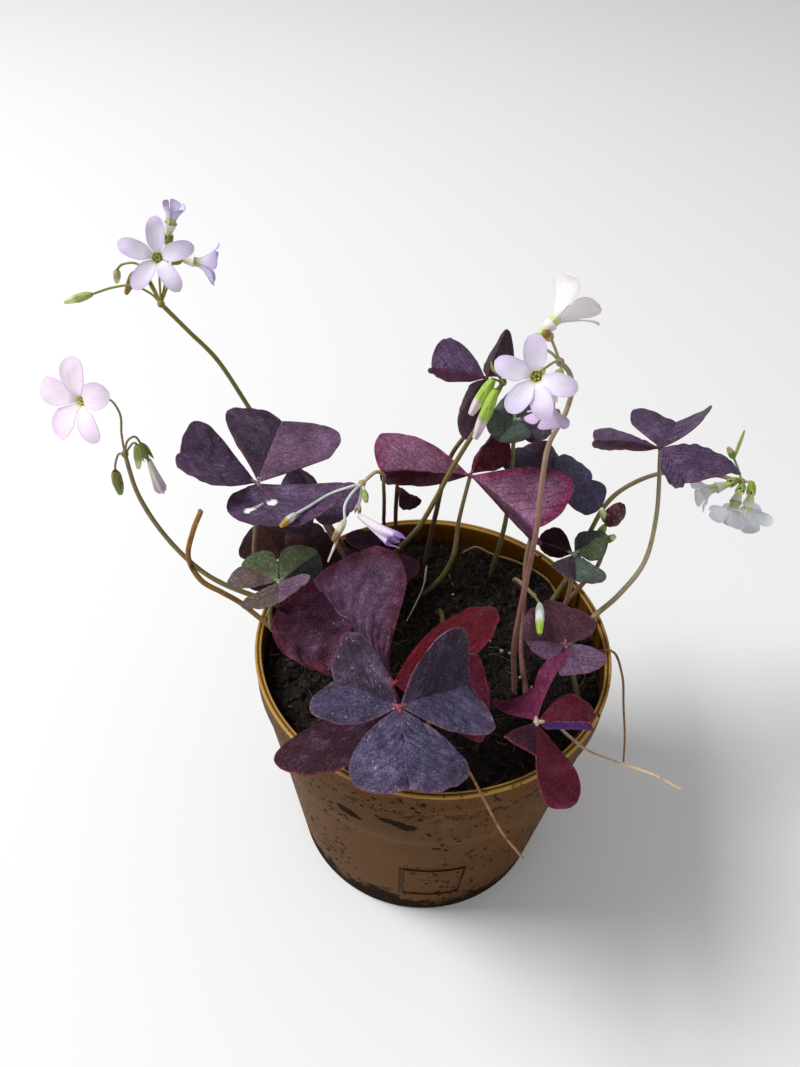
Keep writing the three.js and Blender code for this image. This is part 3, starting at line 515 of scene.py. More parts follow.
def leaf_skin():
    """The matt, clouded, veined and scuffed skin of the leaves, with a painted lilac sheen of sky light."""
    material, tree, shader = start_material("leaf_skin")
    flat = own_map(tree, "flat")
    fan = own_map(tree, "fan")
    skin = attribute(tree, "skin", "Color")
    wear = attribute(tree, "wear")
    veins = attribute(tree, "veins")
    across = fan.axis("X").maths("ABSOLUTE")
    along = fan.axis("Y")
    wander = flat.noise(3.0, 2.0) - 0.5
    # pairs of side veins leave the midrib and curve outwards, and two nets of finer ones lie between them
    side = (along - across.maths("POWER", VEIN_CURVE) * VEIN_LEAN + wander * 0.16) * VEIN_PAIRS
    side_vein = (side.maths("FRACT") - 0.5).maths("ABSOLUTE").step(0.44, 0.5) * across.step(1.0, 0.4)
    midrib = across.step(0.03, 0.006)
    shake = flat.noise(3.0, output="Color")
    swirl = flat.node("VectorMath", {"operation": "ADD"}, {0: flat, 1: shake}, "Vector")
    net = swirl.cells(4.5, "DISTANCE_TO_EDGE").step(0.05, 0.0)
    fine_net = swirl.cells(15.0, "DISTANCE_TO_EDGE").step(0.08, 0.0)
    patchy = flat.noise(2.0, 2.0).step(0.42, 0.62)
    vein = (midrib.maths("MAXIMUM", side_vein * 0.45) + net * 0.5 * patchy + fine_net * 0.16) * veins
    # the blade is cloudy: its own colour, scaled up and down by clouds, finer mottling and grain, with a
    # painted lilac sheen of sky light on the clouds, stronger on worn leaves, and paler veins
    cloud = flat.noise(0.9, 4.0, 0.62, 0.6)
    mottle = flat.noise(3.2, 4.0, 0.65)
    grain = flat.noise(30.0, 3.0, 0.6)
    tone = 0.5
    for clouds, share in ((cloud, 0.5), (mottle, 0.34), (grain, 0.2)):
        tone = tone + clouds.step(0.3, 0.7) * share
    base = skin.node("VectorMath", {"operation": "SCALE"}, {0: skin, "Scale": tone}, "Vector")
    # painted sheen: a lilac reflection of the sky on the clouds, more of it where the wear is high
    bloom = cloud.step(0.5, 0.72) * mottle.step(0.35, 0.6) * (0.08 + wear * 0.24)
    base = base.blend(tree_colour(142, 126, 164), bloom)
    base = base.blend(tree_colour(176, 120, 160), vein * 0.5)
    # scuffs: short scratches and dots that gather in patches
    scratch = swirl.stretched((1.0, 5.0, 1.0), (0, 0, 0.6)).noise(5.0, 4.0, 0.7)
    scuff = scratch.step(0.58, 0.68) * flat.noise(2.6, 2.0, 0.5, 0.4).step(0.52, 0.66)
    dots = flat.cells(9.0).step(0.12, 0.05) * flat.noise(1.7).step(0.52, 0.62)
    rubbed = flat.noise(13.0, 4.0, 0.75).step(0.55, 0.68) * flat.noise(1.5, 2.0).step(0.55, 0.7)
    worn = scuff.maths("MAXIMUM", dots * 0.7).maths("MAXIMUM", rubbed) * wear
    base = base.blend(tree_colour(196, 188, 212), worn * 0.75)
    roughness = 0.5 + mottle * 0.16 + worn * 0.25
    height = mottle * 0.7 + grain * 0.1 - side_vein * 0.3 * across.step(0.05, 0.15)
    height = height - net * 0.25 - midrib * 0.4
    shader.inputs["IOR"].default_value = 1.3
    shader.inputs["Specular IOR Level"].default_value = 0.25
    finish_material(tree, shader, base, roughness, height, LEAF_RELIEF)
    return material


LEAF_SKIN = leaf_skin()
print("leaf skin nodes", len(LEAF_SKIN.node_tree.nodes))

# %% [markdown]
# ## Leaflets
#
# A leaflet is a wedge that widens to two round lobes with a notch between them. It is folded along its
# midrib, it sags from the knot outwards, and each half may also roll up. It could be cut from a plane and
# bent with modifiers, but a formula keeps to the same few numbers that place it in the frame: its compass
# turn, its climb, the fall of each half and its length. The surface gets a fine grid, puckers between the
# veins and a live edge.

# %% Leaflet measures
LEAFLET = {
    "half_angle": 53, "shape": (0.14, 0.5, 0.48, 3.6, 0.97), "crease": 0.8, "wave": 0.022, "sag": 14,
    "start": 1.2, "thickness": 0.36, "columns": 68, "crowding": 0.7, "curl_share": 0.65,
    "rows_per_mm": 1.1, "fewest_rows": 18, "trimmed": 0.982, "ragged": 0.012, "live_edge": 0.25,
}
PUCKER = 0.26
PUCKER_PAIRS = 5.5


def reach(across, shape):
    """How far half a leaflet reaches: 1 at the midrib, rising with a sine to 1 plus the notch where the
    lobe peaks, and then falling with a power to a share of that at the side edge."""
    notch, lobe, side, corner = shape[:4]
    rising = 1 + notch * np.sin(np.pi / 2 * np.minimum(across / lobe, 1) ** 0.8)
    past = np.clip((across - lobe) / (1 - lobe), 0, 1)
    return np.where(across < lobe, rising, (1 + notch) * (1 - (1 - side) * past**corner))


def folded(side, fold, curl):
    """A half after its fold and curl: how far out and how far down the arc ends."""
    bent = np.where(np.abs(curl) < 1e-4, 1e-4, curl)
    out = (np.sin(fold + bent * side) - np.sin(fold)) / bent
    down = (np.cos(fold) - np.cos(fold + bent * side)) / bent
    return out, down


def leaflet_surface(hub, leaflet, index):
    """The folded leaflet as a grid of points. Across it runs from -1 at the left edge to 1 at the right
    one, crowded near the midrib and the edges. A point lies at its length along the bent midrib and at its
    offset out on the folded half, and is lifted by edge waves and by puckers between the side veins."""
    rows = max(LEAFLET["fewest_rows"], round(LEAFLET["rows_per_mm"] * leaflet["long"]))
    even = np.linspace(-1, 1, LEAFLET["columns"] + 1)
    across = even - np.sign(even) * LEAFLET["crowding"] * np.sin(2 * np.pi * np.abs(even)) / (2 * np.pi)
    across, along = np.meshgrid(across, np.linspace(0, 1, rows + 1))
    turn = math.radians(leaflet["turn"])
    sag = math.radians(LEAFLET["sag"])
    rise = math.radians(leaflet["rise"]) + sag / 2
    outward = np.array([math.cos(turn), math.sin(turn), 0])
    forward = outward * math.cos(rise) + UP * math.sin(rise)
    above = UP * math.cos(rise) - outward * math.sin(rise)
    right = np.cross(forward, above)
    bend = sag / leaflet["long"]
    to_right = across > 0
    shapes = [leaflet["right_shape"], leaflet["left_shape"]]
    wide = np.radians(LEAFLET["half_angle"] * np.where(to_right, shapes[0][4], shapes[1][4]))
    fold = np.radians(np.where(to_right, leaflet["right"], leaflet["left"]))
    curl = np.radians(np.where(to_right, leaflet["right_curl"], leaflet["left_curl"]))
    reached = [reach(np.abs(across), shape) for shape in shapes]
    outline = leaflet["long"] * np.where(to_right, *reached)
    place = np.stack([across, np.full_like(across, index), np.zeros_like(across)], -1)
    ragged = LEAFLET["ragged"] * noise(place, 0.16, 3) * np.abs(across) ** 0.5
    outline = outline * (LEAFLET["trimmed"] + ragged)
    length = LEAFLET["start"] + along * (outline - LEAFLET["start"])
    down_midrib = length * np.cos(wide * across)
    offset = length * np.sin(wide * across)
    side = np.hypot(offset, LEAFLET["crease"]) - LEAFLET["crease"]
    out, drop = folded(side, fold, curl / (LEAFLET["curl_share"] * leaflet["long"]))
    ripple = LEAFLET["wave"] * leaflet["long"] * along**2 * np.sin(4 * across + 2.1 * index)
    flat = np.stack([offset, down_midrib, np.full_like(offset, 40.0 * index)], -1)
    vein = PUCKER_PAIRS * (along - VEIN_LEAN * np.abs(across) ** VEIN_CURVE)
    pucker = leaflet["pucker"] * np.where(to_right, 1, leaflet["left_pucker"])
    quilt = np.abs(np.sin(np.pi * vein)) * smooth(np.abs(across), 0.02, 0.2) * smooth(along, 0.05, 0.3)
    creases = 1 - 2 * np.abs(noise(flat * [0.6, 1.2, 1], 4.2, 7))
    bumps = 1.2 * noise(flat, 5.0, 1) + 0.9 * creases + 0.4 * noise(flat, 2.0, 2)
    lift = PUCKER * pucker * (quilt + bumps * smooth(along, 0, 0.3))
    edge = (1 - along) * length
    live_edge = LEAFLET["live_edge"] * noise(flat, 5.0, 4) * smooth(edge, 3.0, 0.0) * along
    lift = lift * smooth(np.abs(across), 1.0, 0.9) + live_edge
    bent = bend * down_midrib
    local = above * np.cos(bent)[..., None] + forward * np.sin(bent)[..., None]
    surface = (
        hub + forward * (np.sin(bent) / bend)[..., None] + above * ((np.cos(bent) - 1) / bend)[..., None]
        + right * (np.sign(across) * out)[..., None] + local * (ripple + lift - drop)[..., None]
    )
    margin = np.minimum((1 - along) * outline, (1 - np.abs(across)) * wide * length)
    return surface, flat, margin, across, along


# %% [markdown]
# ## Colours of the plant
#
# Old shamrock leaves run from slate purple through plum to wine red, and a few are nearly green. One material
# for each leaf would do, but the two halves of a leaflet differ, so each half names its own shade and the
# colour is kept for every point. Every leaflet is wine red beneath, and has a thin paler edge.

# %% Shades
SHADES = {
    "slate": colour(92, 72, 102),
    # painted light: this lighter blue-grey is a leaflet half that faces the light and the sky
    "blue": colour(82, 76, 104),
    # painted shade: this darker grey-purple is a leaflet half turned away from the light
    "dusk": colour(66, 56, 72),
    "mauve": colour(116, 88, 116),
    "plum": colour(82, 44, 66),
    "maroon": colour(58, 28, 42),
    # painted shadow: this dark umber is the low west leaf in the shadow that the high one casts
    "umber": colour(52, 24, 20),
    "wine": colour(92, 20, 36),
    # painted light: these two deep reds are a leaflet that the light shines through from behind
    "crimson": colour(90, 3, 14),
    "garnet": colour(78, 8, 34),
    "berry": colour(108, 36, 70),
    "dusty": colour(142, 94, 122),
    "rose": colour(136, 62, 98),
    "magenta": colour(134, 40, 84),
    "violet": colour(92, 42, 118),
    "moss": colour(108, 124, 86),
    "sage": colour(80, 96, 84),
    "taupe": colour(110, 94, 88),
    "brown": colour(100, 62, 74),
}
USUAL = {
    "right_shape": LEAFLET["shape"], "left_shape": LEAFLET["shape"], "right_curl": 0, "left_curl": 0,
    "pucker": 1.2, "left_pucker": 1.0, "wear": 0.6, "veins": 0.5, "blush": "magenta", "tip": "plum",
    "tip_share": 0.25, "beneath": colour(92, 14, 36), "edge": colour(120, 66, 92),
}
BLUSH_SHARE, EDGE_SHARE, UNDER_EDGE_SHARE = 0.35, 0.35, 0.6
MAP_PLACE = (7, 3)


def leaflet_body(hub, own, index):
    """A leaflet with its shades: left and right half, a soft change at the midrib, a blush towards the
    knot, and the edge tint on the last half millimetre. What it doesn't say itself is as usual."""
    leaflet = {**USUAL, **own}
    surface, flat, margin, across, along = leaflet_surface(hub, leaflet, index)
    left, right = (SHADES[name] for name in leaflet["shades"].split())
    skin = mix(left, right, smooth(across, -0.03, 0.03))
    patch = noise(flat, 9.0, 5)[..., None] * 0.14
    skin = skin * (1 + patch * [1, 1.2, 0.9, 0])
    near_knot = smooth(along, 0.45, 0.0) * smooth(np.abs(across), 0.5, 0.0)
    skin = mix(skin, SHADES[leaflet["blush"]], BLUSH_SHARE * near_knot)
    near_tip = smooth(margin, 0.22 * leaflet["long"], 0.0)
    skin = mix(skin, SHADES[leaflet["tip"]], leaflet["tip_share"] * near_tip)
    skin = mix(skin, leaflet["edge"], EDGE_SHARE * smooth(margin, 0.5, 0.1))
    skin[..., 3] = 1
    beneath = mix(leaflet["beneath"], leaflet["edge"], UNDER_EDGE_SHARE * smooth(margin, 0.7, 0.15))
    beneath = beneath * (1 + 0.15 * noise(flat, 6.0, 6)[..., None])
    beneath[..., 3] = 1
    fan = np.stack([across, along], -1)
    # the flat map is in centimetres, each leaflet on a place of its own
    shifted = flat[..., :2] / 10 + np.multiply(MAP_PLACE, index)
    amounts = {key: np.full_like(along, leaflet[key]) for key in ("wear", "veins")}
    return sheet(surface, LEAFLET["thickness"], skin, beneath, fan=fan, flat=shifted, **amounts)


# %% [markdown]
# ## Knots and stalks
#
# Where three leaflets meet, each has a little fleshy hinge of its own, paler than the leaf. The stalk is
# round and smooth, olive or pinkish brown, thicker at its foot, and it stands in the soil. A curve with a
# bevel would make a stalk too, but a tube along a route can change its thickness and its colour on the way.

# %% Knots and stalks
ROOTED = 5.0
STALK = (1.12, 0.72)
BEAD_END = 0.12


def bead(centre, radius, skin, stretch=1.0, axis=(0, 0, 1)):
    """A ball, or one stretched along an axis: rings with the sine and cosine of one angle."""
    angle = np.linspace(BEAD_END, np.pi - BEAD_END, 9)
    axis = np.asarray(axis, float)
    rings = turned(centre, axis, radius * np.sin(angle), -radius * stretch * np.cos(angle), 14)
    return loft(rings, skin)


def knot(hub, leaflets, skin):
    """A bead at the hub and a stretched one at the root of each leaflet."""
    bodies = [bead(hub, 1.0, skin)]
    for leaflet in leaflets:
        turn, rise = math.radians(leaflet["turn"]), math.radians(leaflet["rise"] + 8)
        axis = np.array([math.cos(turn) * math.cos(rise), math.sin(turn) * math.cos(rise), math.sin(rise)])
        bodies.append(bead(hub + axis * 1.5, 0.6, skin, 1.8, axis))
    return bodies


def stem_line(points, step):
    """The route of a stem, with its foot lengthened down into the soil."""
    points = np.asarray(points, float)
    start = unit(points[1] - points[0])
    start[2] = max(start[2], 0.9)
    foot = points[0] - ROOTED * unit(start)
    return route(np.vstack([foot, points]), step)


def stem(points, radius, shades, sides=12, ribs=0.04):
    """A stem that narrows from foot to top, and changes through the named shades on the way."""
    line = stem_line(points, 1.3)
    t = np.linspace(0, 1, len(line))
    marks = np.linspace(0, 1, len(shades))
    skin = np.column_stack([np.interp(t, marks, [shade[n] for shade in shades]) for n in range(4)])
    skin = skin * (1 + 0.08 * noise(line, 6.0, 8))[:, None]
    skin[:, 3] = 1
    thickness = np.interp(t, [0, 1], radius) * (1 + 0.05 * noise(line, 5.0, 9))
    return tube(line, thickness, skin, sides, ribs)


# %% [markdown]
# ## Stem skin
#
# Live stems are satiny with a few flecks, and dry ones are dull and blotched. Two materials could be made
# apart, but they differ only in how rough and how blotched they are, so one function makes both.

# %% Stem skin
def stem_skin(name, rough, streak):
    """Stem tissue: dark blotches and a few pale flecks on the colour of each point."""
    material, tree, shader = start_material(name)
    place = own_place(tree)
    skin = attribute(tree, "skin", "Color")
    blotch = place.noise(260.0, 3.0)
    fleck = place.noise(900.0, 2.0)
    base = skin.blend(tree_colour(20, 14, 8), blotch.step(0.5, 0.25) * streak)
    base = base.blend(tree_colour(225, 215, 190), fleck.step(0.58, 0.75) * streak * 0.5)
    shader.inputs["Specular IOR Level"].default_value = 0.4
    finish_material(tree, shader, base, rough + blotch * 0.2, blotch + fleck * 0.4, 0.0002)
    return material


STALK_SKIN = stem_skin("stalk_skin", 0.42, 0.35)
DRY_SKIN = stem_skin("dry_skin", 0.75, 0.7)
OLIVE = colour(122, 110, 62)
SOIL_BROWN = colour(84, 66, 44)
PINKISH = colour(140, 96, 88)
RED_BROWN = colour(96, 52, 44)
BEIGE = colour(164, 152, 120)
GREEN = colour(120, 118, 56)

# %% [markdown]
# ## The leaves
#
# Each leaf is planted by the points of its stalk and the lie of its three leaflets. Turn is the compass
# direction, rise the climb, and right and left say how far each half falls from the midrib, in degrees.
# The shades name the left half, then the right one. Each leaf could be shaped alone, but as rows of one table
# they stay easy to compare and to move, and one loop builds them all.

# %% Planting the leaves
LEAVES = [
    dict(name="leaf_west_high", slot="leaf_slate", stem=[SOIL_BROWN, OLIVE, PINKISH],
         hub=colour(140, 88, 100), wear=1.0, veins=0.7,
         stalk=[(-48, 16, 101), (-54, 17, 108), (-61, 18, 114), (-67, 20, 126), (-66, 24, 144),
                (-65, 27, 158)],
         leaflets=[
             dict(turn=199, rise=37, right=-4, left=-7, long=31.2, right_curl=-28, left_curl=-12,
                  right_shape=(0, 0.5, 0.66, 3.4, 0.87), left_shape=(0.14, 0.57, 0.64, 4.8, 0.84),
                  shades="slate slate", wear=1.4),
             dict(turn=84, rise=-2, right=2, left=-24, long=37.3, right_curl=-12, left_curl=25,
                  right_shape=(0.14, 0.57, 0.68, 1.5, 1.05), left_shape=(0.13, 0.61, 0.47, 5, 0.74),
                  shades="dusk mauve", veins=1.2),
             dict(turn=295, rise=13, right=-17, left=7, long=32.9, right_curl=23, left_curl=-20,
                  right_shape=(0, 0.42, 0.5, 2.1, 0.92), left_shape=(0.12, 0.7, 0.56, 5.8, 1.02),
                  shades="slate slate", wear=1.0)]),
    # painted shadow: the low west leaf is painted dark umber for the shadow of the high west leaf on it
    dict(name="leaf_west_low", slot="leaf_plum", stem=[SOIL_BROWN, RED_BROWN], hub=colour(90, 40, 44),
         wear=0.1, veins=0.15, blush="umber", tip="umber",
         stalk=[(-42, 14, 101), (-48, 20, 112), (-58, 23, 124)],
         leaflets=[
             dict(turn=117, rise=0, right=20, left=39, long=23, shades="umber umber"),
             dict(turn=52, rise=-3, right=40, left=11, long=24, shades="umber umber"),
             dict(turn=262, rise=0, right=8, left=8, long=16, shades="umber umber")]),
    dict(name="leaf_west_back", slot="leaf_slate", stem=[SOIL_BROWN, PINKISH], hub=colour(120, 80, 90),
         stalk=[(-30, 20, 101), (-33, 25, 120), (-42, 29, 138), (-46, 33, 146)],
         leaflets=[
             dict(turn=120, rise=14, right=50, left=50, long=17, shades="slate dusk"),
             dict(turn=325, rise=10, right=-2, left=-30, long=17, shades="slate slate"),
             dict(turn=225, rise=-12, right=20, left=20, long=15, shades="dusk dusk")]),
    dict(name="leaf_west_green", slot="leaf_green", stem=[SOIL_BROWN, OLIVE, GREEN],
         hub=colour(150, 165, 120), wear=0.3, veins=0.9, edge=colour(110, 108, 92), blush="moss", tip="sage",
         stalk=[(-50, 0, 101), (-57, -4, 113), (-58, -6, 128), (-54, -5, 142)],
         leaflets=[
             dict(turn=149, rise=-9, right=0, left=1, long=17, shades="taupe moss"),
             dict(turn=53, rise=-3, right=70, left=12, long=19, shades="moss sage"),
             dict(turn=277, rise=26, right=14, left=-29, long=19, shades="mauve taupe", tip="taupe")]),
    dict(name="leaf_front_slate", slot="leaf_slate", stem=[SOIL_BROWN, OLIVE, PINKISH],
         hub=colour(164, 92, 100), wear=1.0, veins=0.45, edge=colour(150, 108, 128), blush="violet",
         stalk=[(2, 20, 101), (3, 17, 106), (4, 0, 109), (2, -25, 112), (-4, -48, 118), (-7, -60, 134),
                (-10, -65, 148), (-12, -64, 156)],
         leaflets=[
             # painted light and shade: each half that faces the light is painted lighter and bluer, each half
             # turned away darker
             dict(turn=152, rise=-10, right=-48, left=-2, long=21.8, right_curl=-9, left_curl=-26,
                  right_shape=(0.18, 0.59, 0.44, 4.4, 1.01), left_shape=(0.17, 0.48, 0.54, 3.9, 1.23),
                  shades="blue dusk", pucker=2.2, wear=1.6),
             dict(turn=37, rise=-18, right=24, left=-37, long=27.9, right_curl=-30, left_curl=-44,
                  right_shape=(0.12, 0.53, 0.54, 2.6, 0.98), left_shape=(0.1, 0.55, 0.35, 4.2, 0.95),
                  shades="dusk blue", pucker=1.8),
             dict(turn=277, rise=0, right=-14, left=3, long=25.9, right_curl=45, left_curl=24,
                  right_shape=(0.12, 0.42, 0.28, 3.3, 1.01), left_shape=(0.12, 0.62, 0.47, 4.5, 0.99),
                  shades="blue blue", wear=1.3, pucker=2.2, left_pucker=1.6)]),
    dict(name="leaf_front_big", slot="leaf_plum", stem=[SOIL_BROWN, OLIVE], hub=colour(150, 60, 84),
         wear=0.7, veins=0.8, edge=colour(140, 50, 78), tip="crimson",
         stalk=[(-20, 24, 101), (-20, 21, 106), (-20, 8, 109), (-18, -15, 114), (-14, -34, 127)],
         leaflets=[
             dict(turn=139, rise=31, right=51, left=49, long=42.4, right_curl=-109,
                  right_shape=(0.17, 0.72, 0.78, 4.3, 0.99), left_shape=(0.15, 0.54, 0.45, 2, 0.98),
                  shades="plum mauve", tip="wine", tip_share=0.75, pucker=2.6, left_pucker=2.0, veins=1.4,
                  wear=1.1),
             # painted light: the back leaflet is painted deep red for the light that shines through it from
             # behind
             dict(turn=352, rise=40, right=39, left=-11, long=33.9, right_curl=18, left_curl=38,
                  right_shape=(0.15, 0.81, 0.46, 4.1, 1), left_shape=(0.27, 0.5, 0.64, 3.6, 1.08),
                  shades="crimson garnet", blush="garnet", wear=0.1, pucker=2.0),
             dict(turn=260, rise=22, right=30, left=-15, right_curl=-8, long=43.6,
                  right_shape=(0.14, 0.6, 0.71, 4, 1.01), left_shape=(0.05, 0.5, 0.5, 4, 0.42),
                  shades="maroon maroon", tip="umber", wear=0.7, veins=0.4)]),
    dict(name="leaf_front_red", slot="leaf_red", stem=[SOIL_BROWN, OLIVE, PINKISH],
         hub=colour(206, 176, 156), wear=0.3, veins=0.5, edge=colour(150, 60, 92), blush="wine", tip="wine",
         stalk=[(38, -36, 101), (36, -44, 114), (31, -54, 129), (29, -57, 142)],
         leaflets=[
             dict(turn=85, rise=-20, right=-71, left=78, long=16.5, right_curl=31, left_curl=-56,
                  right_shape=(0.79, 0.92, 0.74, 3.9, 0.71), left_shape=(0.89, 0.79, 0.73, 3.8, 0.74),
                  shades="berry berry", blush="rose", tip="rose"),
             dict(turn=3, rise=-2, right=60, left=14, long=14.8, right_curl=150,
                  right_shape=(0.4, 0.5, 0.5, 4, 1), left_shape=(0.41, 0.45, 0.51, 3.9, 1.09),
                  shades="wine violet"),
             dict(turn=263, rise=16, right=-14, left=32, long=14.8, right_curl=24, left_curl=-7,
                  right_shape=(0, 0.94, 0.55, 4.3, 0.89), left_shape=(1.1, 0.25, 0.45, 2.8, 0.99),
                  shades="wine maroon")]),
    dict(name="leaf_east_brown", slot="leaf_plum", stem=[SOIL_BROWN, OLIVE], hub=colour(168, 120, 128),
         wear=0.35, veins=0.6, edge=colour(140, 90, 100), blush="brown", tip="mauve",
         stalk=[(53, -20, 101), (50, -17, 110), (45, -11, 123)],
         leaflets=[
             dict(turn=76, rise=-5, right=15, left=-10, long=18.5, right_curl=-8, left_curl=-29,
                  right_shape=(0.16, 0.45, 0.42, 2, 0.95), left_shape=(0.09, 0.47, 0.42, 3.5, 0.99),
                  shades="brown brown", tip="brown"),
             dict(turn=199, rise=26, right=-31, left=-9, long=17.5, left_curl=6,
                  right_shape=(0.1, 0.51, 0.5, 4, 1), left_shape=(0.09, 0.49, 0.47, 3.2, 0.93),
                  shades="mauve brown"),
             dict(turn=285, rise=13, right=6, left=-22, long=16.4, left_curl=27,
                  right_shape=(0.03, 0.69, 0.44, 5.2, 0.66), left_shape=(0.09, 0.5, 0.46, 3.8, 0.99),
                  shades="mauve mauve", blush="rose")]),
    dict(name="leaf_east_green", slot="leaf_green", stem=[SOIL_BROWN, PINKISH, OLIVE],
         hub=colour(130, 150, 120), wear=0.3, veins=0.8, edge=colour(120, 70, 72), blush="moss", tip="dusk",
         stalk=[(48, 17, 101), (50, 17, 118), (49, 19, 138)],
         leaflets=[
             dict(turn=148, rise=-5, right=-2, left=104, long=13.5, right_curl=-7,
                  right_shape=(0.18, 0.5, 0.48, 3.9, 0.97), left_shape=(0.14, 0.5, 0.5, 4, 1),
                  shades="umber umber", tip="umber"),
             dict(turn=37, rise=6, right=75, left=27, long=16, shades="sage moss"),
             dict(turn=266, rise=9, right=-16, left=6, long=16.3, left_curl=-9,
                  right_shape=(0, 0.55, 0.93, 4.9, 0.8), left_shape=(0.11, 0.5, 0.65, 3.9, 0.99),
                  shades="sage dusk", tip="sage")]),
    dict(name="leaf_far_east", slot="leaf_slate", stem=[OLIVE, BEIGE, BEIGE], hub=colour(110, 72, 84),
         wear=0.8, veins=0.6,
         stalk=[(53, 8, 101), (60, 12, 112.5), (69, 19, 117), (78, 27, 127), (80, 34, 144), (77, 42, 170)],
         leaflets=[
             dict(turn=178, rise=4, right=19, left=-14, long=23.8, left_curl=-24,
                  right_shape=(0.06, 0.54, 0.45, 3.8, 0.94), left_shape=(0.13, 0.54, 0.7, 4, 0.88),
                  shades="maroon slate", beneath=colour(70, 14, 26)),
             dict(turn=64, rise=-12, right=-34, left=-1, long=25, right_curl=-30, left_curl=-14,
                  right_shape=(0.19, 0.4, 0.55, 1.5, 1.28), left_shape=(0.19, 0.47, 0.57, 1.5, 1.1),
                  shades="slate slate", pucker=1.5),
             dict(turn=273, rise=15, right=3, left=-32, long=28, left_curl=56,
                  right_shape=(0.17, 0.47, 0.41, 1.7, 0.39), left_shape=(0.18, 0.57, 0.6, 3.4, 1.13),
                  shades="slate slate", pucker=2.2)]),
    dict(name="leaf_north_red", slot="leaf_red", stem=[SOIL_BROWN, OLIVE, OLIVE], hub=colour(150, 84, 100),
         wear=0.8, veins=0.5, edge=colour(158, 66, 96), beneath=colour(118, 14, 46), tip="crimson",
         stalk=[(-3, 31, 101), (3, 33, 108), (7, 34, 120), (8, 38, 134), (11, 44, 152)],
         leaflets=[
             dict(turn=192, rise=9, right=-26, left=115, long=34.6, right_curl=31, left_curl=26,
                  right_shape=(0.1, 0.67, 0.46, 1.5, 0.86), left_shape=(0.02, 0.48, 0.57, 4, 1.11),
                  shades="wine dusty", tip="rose", tip_share=0.8, wear=1.4),
             dict(turn=309, rise=0, right=116, left=-17, long=34.5, shades="dusty dusty", tip="magenta",
                  tip_share=1.0, wear=2.0),
             dict(turn=64, rise=13, right=53, left=63, long=24, right_shape=(0.14, 0.5, 0.48, 3.6, 0.8),
                  left_shape=(0.14, 0.5, 0.48, 3.6, 0.8), shades="wine wine", pucker=3.0)]),
    dict(name="leaf_north_tall", slot="leaf_plum", stem=[SOIL_BROWN, RED_BROWN, OLIVE],
         hub=colour(104, 60, 70), wear=0.3, veins=0.4,
         stalk=[(-3, 50, 101), (0, 53, 125), (4, 57, 150), (12, 61, 163), (16, 61, 176), (14, 57, 186)],
         leaflets=[
             dict(turn=183, rise=12, right=-41, left=-14, long=20.2, right_curl=49,
                  right_shape=(0.05, 0.55, 0.97, 4.1, 1.04), left_shape=(0.15, 0.46, 0.5, 4.2, 0.99),
                  shades="plum slate"),
             dict(turn=71, rise=19, right=72, left=68, long=24, shades="maroon maroon"),
             dict(turn=182, rise=-68, right=6, left=12, long=21, shades="maroon maroon")]),
    dict(name="leaf_north_green", slot="leaf_green", stem=[SOIL_BROWN, OLIVE, GREEN],
         hub=colour(150, 170, 130), wear=0.3, veins=1.2, edge=colour(96, 92, 84), blush="moss", tip="dusk",
         stalk=[(24, 44, 101), (27, 47, 125), (27, 50, 148), (26, 55, 170)],
         leaflets=[
             dict(turn=87, rise=6, right=27, left=53, long=18, shades="sage sage"),
             dict(turn=246, rise=4, right=-50, left=-20, long=17, shades="sage sage"),
             dict(turn=327, rise=10, right=14, left=-11, long=15, shades="sage dusk")]),
    dict(name="leaf_north_blue", slot="leaf_slate", stem=[PINKISH, RED_BROWN, BEIGE],
         hub=colour(110, 90, 96), wear=0.4, veins=0.6,
         stalk=[(34, -15, 101), (32, -4, 110), (33, 12, 119), (34, 28, 124), (38, 44, 131), (42, 57, 142)],
         leaflets=[
             dict(turn=149, rise=8, right=5, left=-13, long=17, shades="dusk dusk"),
             dict(turn=85, rise=9, right=55, left=30, long=20, shades="maroon dusk"),
             dict(turn=18, rise=-14, right=42, left=-3, long=20.7, right_curl=3, left_curl=10,
                  right_shape=(0.42, 0.2, 0.49, 3.6, 0.96), left_shape=(0.2, 0.48, 0.54, 4.1, 1.04),
                  shades="blue blue", tip="blue")]),
    dict(name="leaf_northwest_dark", slot="leaf_plum", stem=[SOIL_BROWN, RED_BROWN], hub=colour(80, 44, 52),
         wear=0.3, veins=0.3, stalk=[(-34, 30, 101), (-33, 34, 108), (-27, 36, 116)],
         leaflets=[
             dict(turn=95, rise=4, right=12, left=12, long=13, shades="maroon maroon"),
             dict(turn=195, rise=-2, right=12, left=12, long=9, shades="maroon maroon"),
             dict(turn=325, rise=-4, right=12, left=12, long=20, shades="maroon maroon")]),
]


def seen_from_above(body):
    """Gives a body without a map of its own one from above, away from every vein."""
    body["fan"] = np.full((len(body["points"]), 2), 0.5)
    body["flat"] = body["points"][:, :2] / 10
    return body


for number, leaf in enumerate(LEAVES):
    hub_place = np.array(leaf["stalk"][-1], float)
    shared = {key: leaf[key] for key in USUAL if key in leaf}
    bodies = []
    for n, leaflet in enumerate(leaf["leaflets"]):
        bodies.append(leaflet_body(hub_place, {**shared, **leaflet}, number + n))
    bodies += [seen_from_above(body) for body in knot(hub_place, leaf["leaflets"], leaf["hub"])]
    blade_name = leaf["name"] + "_blade"
    made = piece(blade_name + "_skin", bodies, LEAF_SKIN, leaf["slot"], blade_name)
    stalk_name = leaf["name"] + "_stalk"
    stalk = stem(leaf["stalk"], STALK, leaf["stem"])
    piece(stalk_name + "_skin", [stalk], STALK_SKIN, "leaf_stalk", stalk_name)
    print(leaf["name"], "faces", len(made.data.polygons))

# %% [markdown]
# ## A tear in a leaf
#
# The front leaflet of the high left leaf is torn: a slit and a round hole, which a thread of leaf still
# parts. An alpha mask in the material could hide the leaf there, but a hole in the mesh is also missing from
# the leaf's shadow. So two upright prisms are taken out of the leaf.

